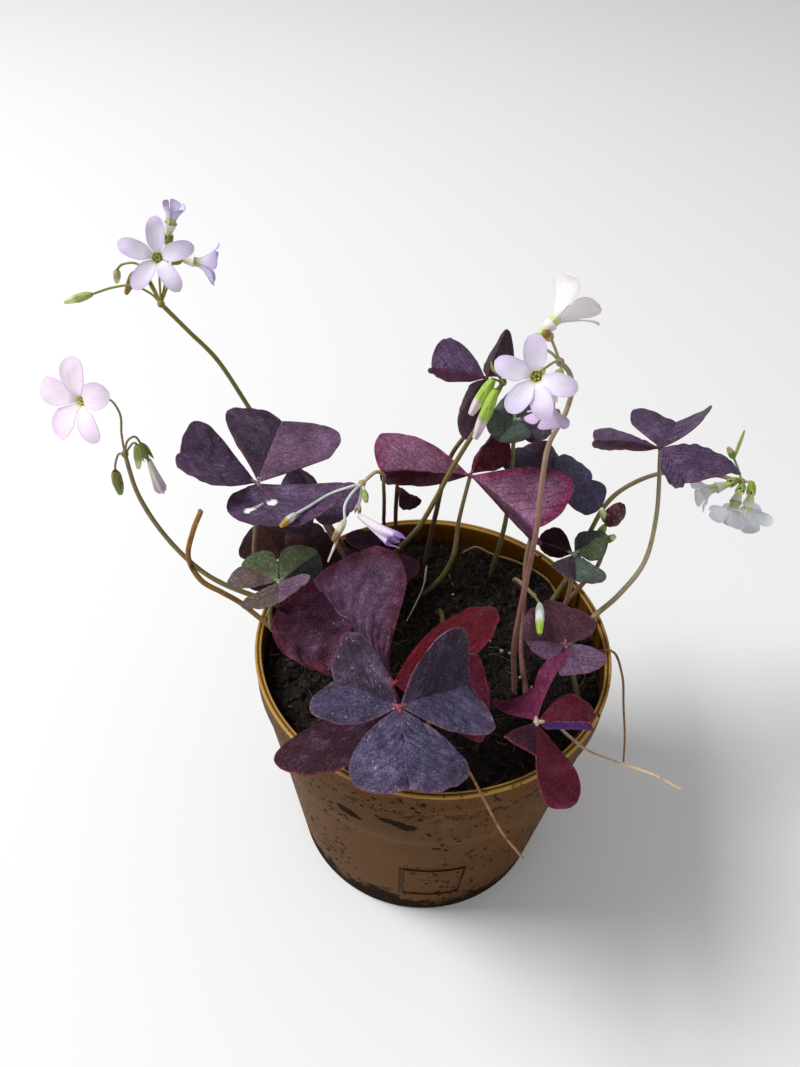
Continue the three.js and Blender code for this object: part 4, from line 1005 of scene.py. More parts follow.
# %% The tear
TORN_EDGE = colour(60, 30, 30)
TEAR_HEIGHTS = (155, 180)
SLIT = [(-65.3, 2.7), (-64.7, 4.8), (-63.2, 5.4), (-61.6, 7.6), (-60.5, 9.4), (-61.2, 7), (-62.6, 3.9),
        (-64.1, 2.3)]
HOLE = [(-59.3, 10.9), (-58.9, 12.4), (-57.6, 13.4), (-56.3, 12.9), (-55.7, 11.2), (-56.6, 9.4),
        (-58.4, 9.4)]


def prism(outline, heights, shade):
    """A closed body whose side walls stand on an outline, from the lower height to the upper one."""
    outline = np.array(outline, float)
    rings = [np.column_stack([outline, np.full(len(outline), z)]) for z in heights]
    return loft(np.stack(rings), shade)


tear = [prism(outline, TEAR_HEIGHTS, TORN_EDGE) for outline in (SLIT, HOLE)]
cut(bpy.data.objects["leaf_west_high_blade_skin"], tear, LEAF_SKIN)

# %% [markdown]
# ## Flower stems
#
# A flower stem carries a knot with a few short pedicels. Each ends in a cup of five pointed sepals, which
# holds a bloom, or in a bud whose petals are still rolled. Five sepals could be modelled one by one, but at
# this size they read as one cup with five points. Both are lofts round the line from foot to tip.

# %% Cups and buds
SEPALS = 5
BUD_SIDES = 30
NARROWEST = 0.08


def cup(foot, tip, radius, skin, tip_skin, thickness=0.22):
    """Five sepals round a line. The wall widens as a sine and ends in five points, whose height falls
    with the distance from the middle of each sepal, and it comes back down inside as a second wall."""
    axis, long = unit(tip - foot), np.linalg.norm(tip - foot)
    sides = SEPALS * 8
    angle = round_turn(sides)
    middle = np.abs(np.cos(SEPALS * angle / 2))
    height = long * (0.55 + 0.5 * middle**1.3)
    t = np.linspace(0, 1, 9)[:, None]
    wall = radius * (0.42 + 0.58 * np.sin(np.pi * 0.62 * t) ** 0.8) * (0.94 + 0.06 * middle)
    outer = turned(foot, axis, wall, t * height)
    inside = np.maximum(wall - thickness, NARROWEST)[::-1]
    inner = turned(foot, axis, inside, np.maximum(t * height, 0.15)[::-1])
    shade = mix(skin, tip_skin, smooth(t, 0.55, 1.0) + 0 * angle)
    return loft(np.concatenate([outer, inner]), np.concatenate([shade, shade[::-1]]))


def bud(foot, tip, radius, skin, tip_skin, furrows=0.1, green_share=0.5, tail=0.12):
    """A closed bud: the radius follows a sine that ends blunt at the foot and pointed at the tip, with
    five furrows that wind a little, and the colour goes over from sepal to petal."""
    axis, long = unit(tip - foot), np.linalg.norm(tip - foot)
    t = np.linspace(0, 1, 17)[:, None]
    angle = round_turn(BUD_SIDES)[None, :]
    swell = np.sin(np.pi * (0.12 + (0.88 - tail) * t)) ** 0.7 * (1 + furrows * np.cos(5 * angle + 3 * t))
    rings = turned(foot, axis, radius * swell, long * t + 0 * angle)
    return loft(rings, mix(skin, tip_skin, smooth(t, green_share, green_share + 0.2) + 0 * angle))


# %% Planting the flower stems
PALE_GREEN = colour(150, 170, 84)
BRIGHT_GREEN = colour(118, 160, 44)
LEAF_GREEN = colour(104, 132, 48)
OLIVE_BUD = colour(118, 112, 46)
WHITE = colour(232, 238, 252)
PINK_WHITE = colour(226, 204, 214)
STRAW = colour(186, 168, 120)
PAPER = colour(206, 200, 178)
DRY_BROWN = colour(140, 104, 62)
DARK_BUD = colour(70, 26, 34)
PALE_TIP = colour(214, 216, 160)
BLEACHED = colour(206, 212, 204)
YELLOW_BROWN = colour(188, 152, 70)
LIME = colour(160, 192, 72)
SCAPE = (1.08, 0.78)
PEDICEL = 0.42

UMBELS = [
    dict(name="umbel_west_tall", stem=[SOIL_BROWN, GREEN, colour(132, 126, 44)],
         calyx=(colour(140, 132, 44), colour(160, 146, 60)),
         scape=[(-30, 40, 101), (-41, 49, 116), (-55, 57, 132), (-74, 71, 157), (-85, 71, 180),
                (-93, 68, 193), (-101, 67, 204)],
         pedicels=[
             dict(way=[(-101, 70, 212), (-99, 68, 220)], cups=[((-98, 65, 222), 1.7)]),
             dict(way=[(-99, 73, 213), (-98, 76, 221)], cups=[((-97.5, 77, 225), 1.7)]),
             dict(way=[(-98, 72, 211), (-98, 78, 214)], cups=[((-96, 81, 214), 1.6)]),
             dict(way=[(-104, 68, 207), (-110, 68, 210), (-117, 68, 209), (-125, 68, 206)],
                  buds=[((-135, 67, 203), 1.5, PALE_GREEN, PALE_TIP)]),
             dict(way=[(-104, 69, 209), (-106, 70, 213), (-110, 72, 213)],
                  buds=[((-114, 71, 205), 1.4, OLIVE_BUD, DRY_BROWN)]),
             dict(way=[(-104, 70, 210), (-109, 74, 215), (-115, 75, 214), (-117, 75, 212)],
                  buds=[((-118, 75, 207), 1.3, STRAW, PALE_TIP)])]),
    dict(name="umbel_west_low", stem=[DRY_BROWN, OLIVE, colour(134, 118, 80)],
         scape=[(-54, 13, 101), (-60, 12, 112), (-66, 12, 115), (-79, 14, 119.5), (-87, 16, 124),
                (-95, 19, 131), (-103, 23, 141), (-109, 28, 151), (-113, 35, 162)],
         pedicels=[
             dict(way=[(-113, 36, 170), (-112, 36, 179), (-115, 38, 183), (-118, 37, 184)],
                  cups=[((-118.5, 34, 186), 1.7)]),
             dict(way=[(-115, 35, 162), (-117, 35, 158), (-118, 35, 154)],
                  buds=[((-118, 35, 143), 1.9, OLIVE_BUD, LEAF_GREEN)]),
             dict(way=[(-111, 35, 168), (-108, 35, 170), (-106.5, 35, 167)], cups=[((-104.5, 34, 161), 2)]),
             dict(way=[(-110, 38, 165), (-109, 38, 164)],
                  buds=[((-110, 37, 154), 1.5, PALE_GREEN, PALE_TIP)])]),
    dict(name="umbel_north_buds", stem=[SOIL_BROWN, OLIVE, GREEN], calyx=(PALE_GREEN, LIME),
         scape=[(-20, 45, 101), (-13, 42, 116), (-7, 38, 130), (-2, 36, 145), (3, 36, 160), (8, 35, 174),
                (14, 36, 188), (18, 40, 196)],
         pedicels=[
             dict(way=[(14.5, 38, 198.5)], buds=[((8, 35, 186), 2, LIME, PINK_WHITE)]),
             dict(way=[(15.5, 35, 196.5)], buds=[((10, 31, 179), 2, LIME, PINK_WHITE)]),
             dict(way=[(15.5, 41, 199)], cups=[((14.5, 41, 203), 1.5)]),
             dict(way=[(19, 38, 200)], cups=[((20, 37, 203), 1.4)])]),
    dict(name="umbel_middle_tall", stem=[PINKISH, PINKISH, BEIGE], calyx=(PALE_GREEN, colour(190, 200, 130)),
         scape=[(30, -14, 101), (28, -10, 118), (28, -8, 130), (29, -4, 148), (30, 0, 168), (30, 5, 182),
                (31, 10, 194), (35, 14, 203), (36, 16, 211), (34, 16, 217), (31, 16, 220)],
         pedicels=[
             dict(way=[(29, 13, 222), (24.5, 8, 222)], cups=[((23.5, 5, 223), 1.7)]),
             dict(way=[(31, 12, 220)], cups=[((29, 8, 218), 1.7)]),
             dict(way=[(28, 17, 222.5), (24, 18, 224)], cups=[((24.5, 20, 226.5), 1.7)]),
             dict(way=[(29, 17, 224), (27.5, 17, 227)], buds=[((25, 16, 230), 1.5, STRAW, DRY_BROWN)])]),
    dict(name="umbel_far_east", stem=[OLIVE, OLIVE, BEIGE],
         calyx=(colour(130, 160, 50), colour(190, 204, 120)),
         scape=[(46, 27, 101), (54, 34, 116), (59, 41, 128), (65, 48, 138), (72, 53, 142), (84, 56, 147),
                (98, 52, 152), (109, 40, 158)],
         pedicels=[
             dict(way=[(107, 39, 160)], cups=[((103, 37, 159), 1.7)]),
             dict(way=[(108, 36, 160)], cups=[((106, 33, 159), 1.7)]),
             dict(way=[(111.5, 38, 160)], cups=[((112, 36, 155.5), 1.7)]),
             dict(way=[(107, 42, 162), (104, 42, 167)],
                  buds=[((101, 43, 171), 1.2, LEAF_GREEN, STRAW),
                        ((105, 44, 178), 0.6, PALE_GREEN, PALE_GREEN)])]),
    dict(name="umbel_east_young", stem=[SOIL_BROWN, PINKISH, OLIVE],
         scape=[(50, 25, 101), (57, 27, 114), (62, 29, 124), (63, 32, 130)],
         pedicels=[
             dict(way=[(61, 34.5, 133)], buds=[((62, 34, 139), 1.5, LEAF_GREEN, BRIGHT_GREEN)]),
             dict(way=[(64, 34, 131)], buds=[((67, 34, 134), 1.4, LEAF_GREEN, PALE_TIP)]),
             dict(way=[(62, 34, 135), (63, 34, 140)],
                  buds=[((66, 33, 150), 3.4, DARK_BUD, DARK_BUD),
                        ((59, 33, 148), 1.5, LEAF_GREEN, PALE_TIP)])]),
    dict(name="umbel_nodding", stem=[PINKISH, OLIVE], radius=(0.9, 0.7), knot=1.0,
         scape=[(36, 35, 101), (31, 27, 114), (30, 14, 128), (33.9, 1.5, 134)], calyx=(BLEACHED, STRAW),
         pedicels=[dict(way=[(35.2, -3.5, 135.5)], buds=[((34.6, -15.6, 133.5), 1.5, BLEACHED, LIME)])]),
    dict(name="umbel_dried", stem=[RED_BROWN, RED_BROWN, RED_BROWN, OLIVE, STRAW], radius=(0.8, 0.62),
         pedicel=(0.5, BLEACHED), calyx=(PAPER, DRY_BROWN),
         scape=[(-18, 53, 101), (-20.6, 51, 119), (-20.6, 45.5, 130), (-20.5, 37, 145), (-20.6, 29, 158),
                (-20.7, 23, 168), (-23, 20.5, 171), (-27.5, 16.5, 169)],
         pedicels=[
             dict(way=[(-32.1, 14.8, 168.4), (-38, 13.2, 166.6), (-44.7, 6.8, 166), (-48.3, 2.8, 166.3)],
                  buds=[((-52.1, -4.6, 167.7), 1.3, BLEACHED, YELLOW_BROWN)]),
             dict(way=[(-30.4, 11, 169.4), (-32.5, 6, 167.9), (-32.2, 3, 164.5)],
                  buds=[((-35.6, -4, 161.5), 1.3, PAPER, DRY_BROWN),
                        ((-36.9, -9, 156.8), 0.5, STRAW, BLEACHED)]),
             dict(way=[(-26.6, 14, 168.2)], buds=[((-25.6, 10.5, 166), 1.1, PALE_GREEN, STRAW)]),
             dict(way=[(-27.6, 13, 167), (-28.1, 10, 165.6)], cups=[((-28.4, 7.4, 164), 1.2)])]),
]

for head in UMBELS:
    scape = [np.array(p, float) for p in head["scape"]]
    top_shade = head["stem"][-1]
    bodies = [stem(scape, head.get("radius", SCAPE), head["stem"])]
    bodies.append(bead(scape[-1], head.get("knot", 1.5) * 0.9, mix(top_shade, DRY_BROWN, 0.3)))
    calyx, calyx_tip = head.get("calyx", (LEAF_GREEN, OLIVE_BUD))
    for pedicel in head["pedicels"]:
        way = [scape[-1]] + [np.array(p, float) for p in pedicel["way"]]
        thickness, shade = head.get("pedicel", (PEDICEL, top_shade))
        bodies.append(tube(route(way, 0.9), thickness, shade, 8))
        for tip, size in pedicel.get("cups", []):
            bodies.append(cup(way[-1], np.array(tip, float), size, calyx, calyx_tip))
        for tip, size, foot_shade, tip_shade in pedicel.get("buds", []):
            tip = np.array(tip, float)
            bodies.append(bud(way[-1], tip, size * 0.94, foot_shade, tip_shade))
            bodies.append(cup(way[-1], mix(way[-1], tip, 0.55), size * 1.04, foot_shade, foot_shade * 1.15))
    slot = "dry_stem" if head["name"] == "umbel_dried" else "flower_stem"
    piece(head["name"] + "_skin", bodies, STALK_SKIN, slot, head["name"])
print("flower stems", len(UMBELS))

# %% [markdown]
# ## Blooms
#
# Five petals leave a short tube, turn outwards round a bend and spread. They are white with a lilac flush
# towards the tips, veined lengthwise, and yellow-green in the throat, where ten small stamens stand. A petal
# could be a flat card with a picture. As a thin sheet it bends, cups and casts a shadow as the real one does.

# %% Petal skin
PETAL = {
    "thickness": 0.2, "bend": 3.2, "ring": 1.4, "sunk": 1.6, "fan": 0.68, "heart": 0.1, "tip_at": 0.62,
    "droop": 0.22, "rows": 24, "columns": 14,
}
TUBE = {"length": 5.0, "base": 0.9, "mouth": 2.2}
GAP = 0.3
THROAT = colour(206, 216, 96)
TUBE_FOOT = colour(206, 214, 140)
ANTHER = colour(222, 214, 120)
STAMENS = 10
PETAL_WHITE = colour(240, 232, 246)
LILAC = colour(210, 190, 234)
VIOLET_TIP = colour(172, 150, 222)


def petal_skin():
    """Thin petals with fine lines along them, which let a little light through."""
    material, tree, shader = start_material("petal_skin")
    skin = attribute(tree, "skin", "Color")
    lines = own_map(tree, "fan").stretched((9.0, 1.2, 1.0)).noise(2.0, 3.0, 0.55)
    base = skin.blend(tree_colour(160, 134, 200), lines.step(0.52, 0.72) * 0.25)
    base = base.blend(tree_colour(250, 248, 252), lines.step(0.45, 0.25) * 0.2)
    shader.inputs["Specular IOR Level"].default_value = 0.25
    shader.inputs["Subsurface Weight"].default_value = 0.1
    shader.inputs["Subsurface Radius"].default_value = (0.002, 0.0015, 0.002)
    finish_material(tree, shader, base, 0.55 + lines * 0.1, lines, 0.0001)
    return material


PETAL_SKIN = petal_skin()


# %% Petals, tubes and stamens
def petal(mouth, axis, turn, bloom):
    """A petal as a grid. Its middle line runs straight in the tube, round a bend and out along the limb,
    with a droop that grows with the cube of the distance. Its half width rises with a sine to the widest
    place, is never more than its neighbours leave, and is rounded at the tip. Its sides cup inwards."""
    flat, other = cross_axes(axis)
    angle = math.radians(bloom["open"])
    out = math.cos(math.radians(turn)) * flat + math.sin(math.radians(turn)) * other
    sideways = np.cross(axis, out)
    long = bloom["long"] - TUBE["length"] + PETAL["sunk"]
    along = np.linspace(0, 1, PETAL["rows"] + 1)[:, None]
    across = np.linspace(-1, 1, PETAL["columns"] + 1)[None, :]
    s = along * long - PETAL["sunk"]
    turned_by = np.clip(s / PETAL["bend"], 0, angle)
    straight = np.maximum(s - PETAL["bend"] * angle, 0)
    limb = long - PETAL["sunk"] - PETAL["bend"] * angle
    droop = PETAL["droop"] * (straight / limb) ** 2 * straight
    far = PETAL["ring"] + PETAL["bend"] * (1 - np.cos(turned_by)) + straight * math.sin(angle)
    high = np.minimum(s, 0) + PETAL["bend"] * np.sin(turned_by) + straight * math.cos(angle) - droop
    past = np.clip((along - PETAL["tip_at"]) / (1 - PETAL["tip_at"]), 0, 1)
    rounding = np.sqrt(np.maximum(1 - past**2.4, 0.004))
    widening = np.sin(np.pi / 2 * np.minimum(along / PETAL["tip_at"], 1)) ** 1.3
    blade = bloom["width"] / 2 * (0.25 + 0.75 * widening)
    half = np.minimum(blade, PETAL["fan"] * (far - PETAL["heart"])) * rounding
    side = across * half
    place = np.stack([side, s + 0 * side, 0 * side + turn], -1)
    cupped = 0.5 * across**2 * np.sin(np.pi * along) + 0.25 * noise(place, 3.0, 11) * along
    high = high + along * side * math.tan(math.radians(bloom["twist"])) + cupped
    surface = mouth + out * (far + 0 * side)[..., None] + axis * high[..., None] + sideways * side[..., None]
    tip = bloom["tip"]
    shade = mix(THROAT, bloom["ground"], smooth(s + 0 * side, 0, 3))
    shade = mix(shade, tip, 0.6 * smooth(along + 0.15 * np.abs(across), 0.45, 1.1))
    at_side = smooth(np.abs(across) + 0 * along, 0.7, 1.0) * smooth(along + 0 * across, 0.1, 0.3)
    shade = mix(shade, tip, 0.55 * at_side)
    fan = np.stack([across + 0 * along + turn, along + 0 * across], -1)
    return sheet(surface, PETAL["thickness"], mix(shade, tip, 0.25), shade, fan=fan)


def corolla_tube(foot, axis):
    """The tube under the petals: a wall that widens from foot to mouth, and its inside wall back down."""
    t = np.linspace(0, 1, 8)
    wall = TUBE["base"] + (TUBE["mouth"] - TUBE["base"]) * t**1.2
    radius = np.concatenate([wall, wall[::-1] - 0.2])
    height = np.concatenate([t, np.maximum(t[::-1], 0.92)]) * TUBE["length"]
    shade = mix(TUBE_FOOT, PETAL_WHITE, smooth(t, 0.3, 1))
    inside = np.tile(THROAT, (len(t), 1))
    return loft(turned(foot, axis, radius, height, 24), np.concatenate([shade, inside])[:, None])


def stamens(foot, axis):
    """Filaments in a ring, every second one a little longer, each with a small anther."""
    flat, other = cross_axes(axis)
    bodies = []
    for n in range(STAMENS):
        angle = 2 * math.pi * n / STAMENS
        lean = math.cos(angle) * flat + math.sin(angle) * other
        tall = TUBE["length"] + (1.0 if n % 2 else 0.1)
        top = foot + axis * tall + lean * 0.85
        filament = route([foot + axis * 2 + lean * 0.4, top - axis, top], 0.8)
        bodies.append(tube(filament, 0.12, PALE_TIP, 6))
        bodies.append(bead(top, 0.3, ANTHER, 1.6, axis))
    return bodies


PLEATED_SIDES = 40
NARROW = 0.8


def rolled(foot, axis, bloom):
    """A closed or withered corolla, with an outer wall and an inner one. The radius starts narrow and grows
    with a power of the distance, five pleats wind round it, and the mouth is ragged: its height falls
    where a noise of the angle is high."""
    t = np.linspace(0, 1, 26)[:, None]
    angle = round_turn(PLEATED_SIDES)[None, :]
    place = np.stack([np.cos(angle), np.sin(angle), 0 * angle], -1)
    radius = NARROW + (bloom["width"] / 2 - NARROW) * t ** bloom["flare"]
    pleats = np.cos(5 * angle + bloom["wind"] * t)
    radius = radius * (1 + 0.24 * t * pleats) * (1 - 0.35 * smooth(t, 0.8, 1.0))
    height = bloom["long"] * t * (1 - bloom["ragged"] * t**3 * (0.5 + 0.5 * noise(place, 0.45, 12)))
    outer = turned(foot, axis, radius, height)
    inner = turned(foot, axis, np.maximum(radius - 0.2, 0.1)[::-1], np.maximum(height, 0.5)[::-1])
    shade = mix(bloom["foot"], bloom["tip"], smooth(t + 0.25 * pleats, 0.4, 1.1))
    return [loft(np.concatenate([outer, inner]), np.concatenate([shade, shade[::-1]]))]


# %% Planting the blooms
ICE = colour(246, 248, 254)
BLOOMS = [
    dict(name="bloom_west_star", base=(-98, 65, 222), axis=(0.1, -0.86, 0.5), open=76, long=18.5, width=6),
    dict(name="bloom_west_cup", base=(-97.5, 77, 225), axis=(0.3, 0, 0.95), open=20, long=12.5, width=4.4,
         tip=VIOLET_TIP),
    dict(name="bloom_west_droop", base=(-95.5, 81.2, 214), axis=(0.95, 0.1, -0.2), open=40, long=16,
         tip=VIOLET_TIP),
    dict(name="bloom_low_star", base=(-118.5, 34, 186), axis=(-0.4, -0.8, 0.4), open=74, long=21, width=9.2,
         ground=colour(244, 230, 244), tip=colour(226, 202, 230)),
    dict(name="bloom_low_closed", base=(-104.5, 34, 161), axis=(0.2, -0.1, -1), open=0, long=15, width=4.6,
         foot=colour(226, 224, 206), tip=LILAC, wind=2, ragged=0.1, flare=0.8),
    dict(name="bloom_middle_star", base=(23.5, 5, 223), axis=(-0.25, -0.9, 0.4), open=72, long=18,
         turns=(95, 162, 236, 290, 350)),
    # painted shade: this bloom faces down into the shade, so its white and lilac are painted darker
    dict(name="bloom_middle_back", base=(28.5, 7, 217.5), axis=(-0.05, -0.2, -1), open=45, long=14, width=7,
         ground=colour(220, 198, 224), tip=colour(204, 174, 212)),
    dict(name="bloom_middle_side", base=(24.7, 20.2, 226.7), axis=(0.7, 0.52, 0.5), open=36, long=21,
         width=8, ground=colour(248, 246, 246), tip=colour(236, 226, 234)),
    dict(name="bloom_east_left", base=(103, 37, 159), axis=(-0.9, -0.15, -0.3), open=45, long=14.5, width=7,
         ground=ICE, tip=WHITE),
    dict(name="bloom_east_front", base=(106, 33, 159), axis=(-0.35, -0.8, -0.45), open=56, long=15,
         ground=ICE, tip=WHITE),
    dict(name="bloom_east_back", base=(112, 36, 155.5), axis=(0.1, -0.05, -1), open=60, long=16, width=7,
         ground=ICE, tip=WHITE),
    dict(name="bloom_faded", base=(20, 37, 203), axis=(0.2, -0.6, 0.6), open=0, long=9, width=3.4,
         foot=PALE_TIP, tip=PINK_WHITE),
    dict(name="bloom_wilted", base=(-28.3, 6.8, 163.6), axis=(0.84, -0.47, -0.26), open=0, long=19,
         width=6.2, foot=colour(238, 228, 236), tip=colour(160, 112, 208), wind=4, ragged=0.35, flare=0.9),
]
EVERY_BLOOM = {
    "width": 6.5, "twist": 8, "turns": (90, 162, 234, 306, 18), "tip": LILAC, "ground": PETAL_WHITE,
    "wind": 1, "ragged": 0.05, "flare": 0.6,
}

for planted in BLOOMS:
    bloom = {**EVERY_BLOOM, **planted}
    axis = unit(np.array(bloom["axis"], float))
    foot = np.array(bloom["base"], float) + GAP * axis
    if bloom["open"] == 0:
        bodies = rolled(foot, axis, bloom)
    else:
        mouth = foot + TUBE["length"] * axis
        bodies = [petal(mouth, axis, turn, bloom) for turn in bloom["turns"]]
        bodies += [corolla_tube(foot - axis, axis), *stamens(foot, axis)]
    for body in bodies:
        body.setdefault("fan", body["points"][:, :2] / 5)
    piece(bloom["name"] + "_skin", bodies, PETAL_SKIN, "petal", bloom["name"])
print("blooms", len(BLOOMS))

# %% [markdown]
# ## Dry stems and fibres
#
# A dead stem bends out of the pot at the left, and loose straws and root fibres hang over the rim. They could
# be hair, but there are few of them and each lies its own way, so each is a stem with a route of its own,
# brown and shrivelled. The withered leaf is a small leaflet, folded down and puckered hard, on a dry stalk.

# %% Dry stems
STRANDS = [
    dict(name="stem_dead", radius=(1.0, 0.9), shades=[DRY_BROWN, colour(140, 96, 52), colour(164, 112, 58)],
         way=[(-55, 0, 101), (-60, 1, 111.5), (-65, 3, 115), (-71, 5, 119.5), (-77, 5, 124.5), (-84, 6, 129),
              (-88, 8, 138), (-85, 8, 151), (-81, 8, 161)]),
    dict(name="strand_soil", radius=(0.4, 0.4), shades=[colour(150, 112, 76)],
         way=[(14, 56, 101), (18, 55, 104.5), (24, 52, 104), (35, 47, 104.5), (46, 38, 104.5),
              (50, 30, 103)]),
    dict(name="strand_root", radius=(0.3, 0.25), shades=[colour(196, 190, 172)],
         way=[(-3, 37, 101), (-3, 35, 112), (-4, 29, 107), (-7, 21, 104.5), (-10, 14, 103)]),
    dict(name="strand_front", radius=(0.5, 0.4), shades=[colour(172, 128, 84)],
         way=[(8, -42, 101), (10, -50, 108), (13, -59, 112), (17, -68, 112), (22, -72, 104), (30, -75, 93)]),
    dict(name="strand_straw", radius=(0.65, 0.35), shades=[colour(214, 186, 156)],
         way=[(43, -28, 101), (46, -40, 110), (51, -48, 114), (58, -54, 118), (68, -59, 120),
              (77, -62, 117)]),
    dict(name="strand_east", radius=(0.5, 0.35), shades=[colour(128, 92, 58)],
         way=[(54, 0, 101), (59, -2, 109), (65, -4, 112), (69, -9, 105), (71, -14, 94), (73, -20, 82),
              (74, -24, 72)]),
]

for strand in STRANDS:
    body = stem(strand["way"], strand["radius"], strand["shades"], 10, 0.12)
    piece(strand["name"] + "_skin", [body], DRY_SKIN, "dry_stem", strand["name"])

WITHERED_STALK = [(-14, 50, 101), (-16, 55, 116), (-16, 57, 134)]
WITHERED = dict(
    turn=350, rise=-35, right=52, left=58, right_curl=20, left_curl=-30, long=11, shades="wine maroon",
    pucker=3.0, tip="maroon", beneath=colour(70, 16, 30),
)
crumpled = leaflet_body(np.array(WITHERED_STALK[-1], float), WITHERED, 3)
stalk = seen_from_above(stem(WITHERED_STALK, (0.9, 0.8), [SOIL_BROWN, RED_BROWN]))
piece("leaf_withered_skin", [crumpled, stalk], LEAF_SKIN, "leaf_plum", "leaf_withered")
print("dry stems", len(STRANDS))

# %% [markdown]
# ## Pot
#
# The pot is thin brown plastic, moulded in one piece: a conical wall, a collar with a ledge, a rim of two
# fine ridges, and a bare moulded frame low on its front. The Screw modifier could spin a profile, but the
# same outline turned as an array leaves every measure in sight. The drains are cut with a Boolean.

# %% Pot measures
RIM, TOP, FOOT = 65.0, 110.0, 51.5
LIP, WALL, BASE = 2.6, 1.6, 2.2
LEDGE = TOP - 11.5
COLLAR = RIM - 1.1
BAND = TOP - 38
DRAINS = {"count": 8, "radius": 4.2, "ring": 40, "heights": (-2, 5)}
POT_SIDES = 192
AXIS_GAP = 1e-3


def wall_radius(z):
    """The outside of the wall, a straight cone from the foot to the ledge under the collar."""
    return FOOT + (COLLAR - FOOT) * z / LEDGE


LONGEST = 4


def pot_outline():
    """The outline of the pot, from the middle of its underside round the wall and rim to the middle of
    its floor. Long straight stretches get points of their own every few millimetres."""
    inside = RIM - LIP
    corners = [
        (0.0, 0), (FOOT - 1.2, 0), (FOOT - 0.5, 0.15), (FOOT, 1),
        (wall_radius(BAND - 0.4) - 0.35, BAND - 0.4), (wall_radius(BAND) - 0.1, BAND),
        (wall_radius(BAND + 0.8), BAND + 0.8),
        (wall_radius(LEDGE), LEDGE), (RIM - 0.5, LEDGE + 0.5), (RIM - 0.25, LEDGE + 1.1),
        (RIM - 0.15, TOP - 1.6), (RIM, TOP - 1.2), (RIM, TOP - 0.5), (RIM - 0.25, TOP - 0.1),
        (RIM - 0.6, TOP), (RIM - 0.95, TOP - 0.12), (RIM - 1.2, TOP - 0.45), (RIM - 1.45, TOP - 0.45),
        (RIM - 1.65, TOP - 0.12), (inside + 0.65, TOP), (inside + 0.3, TOP - 0.15), (inside + 0.1, TOP - 0.6),
        (inside - 0.2, LEDGE - 3), (FOOT - WALL, BASE), (0.0, BASE),
    ]
    outline = [corners[0]]
    for (r0, z0), (r1, z1) in zip(corners, corners[1:]):
        stretches = max(int(math.hypot(r1 - r0, z1 - z0) / LONGEST), 1)
        for n in range(1, stretches + 1):
            outline.append((r0 + (r1 - r0) * n / stretches, z0 + (z1 - z0) * n / stretches))
    return np.array(outline)


BAR_SHADE = colour(34, 20, 10)


def frame_bar(turn, height):
    """A low bar of the moulded frame, laid on the wall between two compass turns and two heights."""
    angle = np.radians(np.linspace(turn[0], turn[1], 25))[None, :]
    z = np.linspace(height[0], height[1], 25)[:, None]
    radius = wall_radius(z) + 0.02
    surface = np.stack([radius * np.cos(angle), radius * np.sin(angle), z + 0 * angle], -1)
    return sheet(surface, 0.4, BAR_SHADE, BAR_SHADE)


# %% [markdown]
# ## Pot plastic
#
# Sun and water have worn the plastic, and soil has stuck to it in crumbs and specks, in two dark smears, in a
# line under the collar and in a crust along the foot. The top of the rim is painted light ochre, a painted
# light where it faces the lamps above. Dirt could be modelled
# as grains, but so thin a film is a matter of colour and roughness, and its edges are noise round a height.

# %% Pot plastic
SMEARS = [(-27.5, 82.5, 4.8, 2.6), (-10.0, 86.0, 6.2, 2.7)]
DIRT_RELIEF = 0.0006


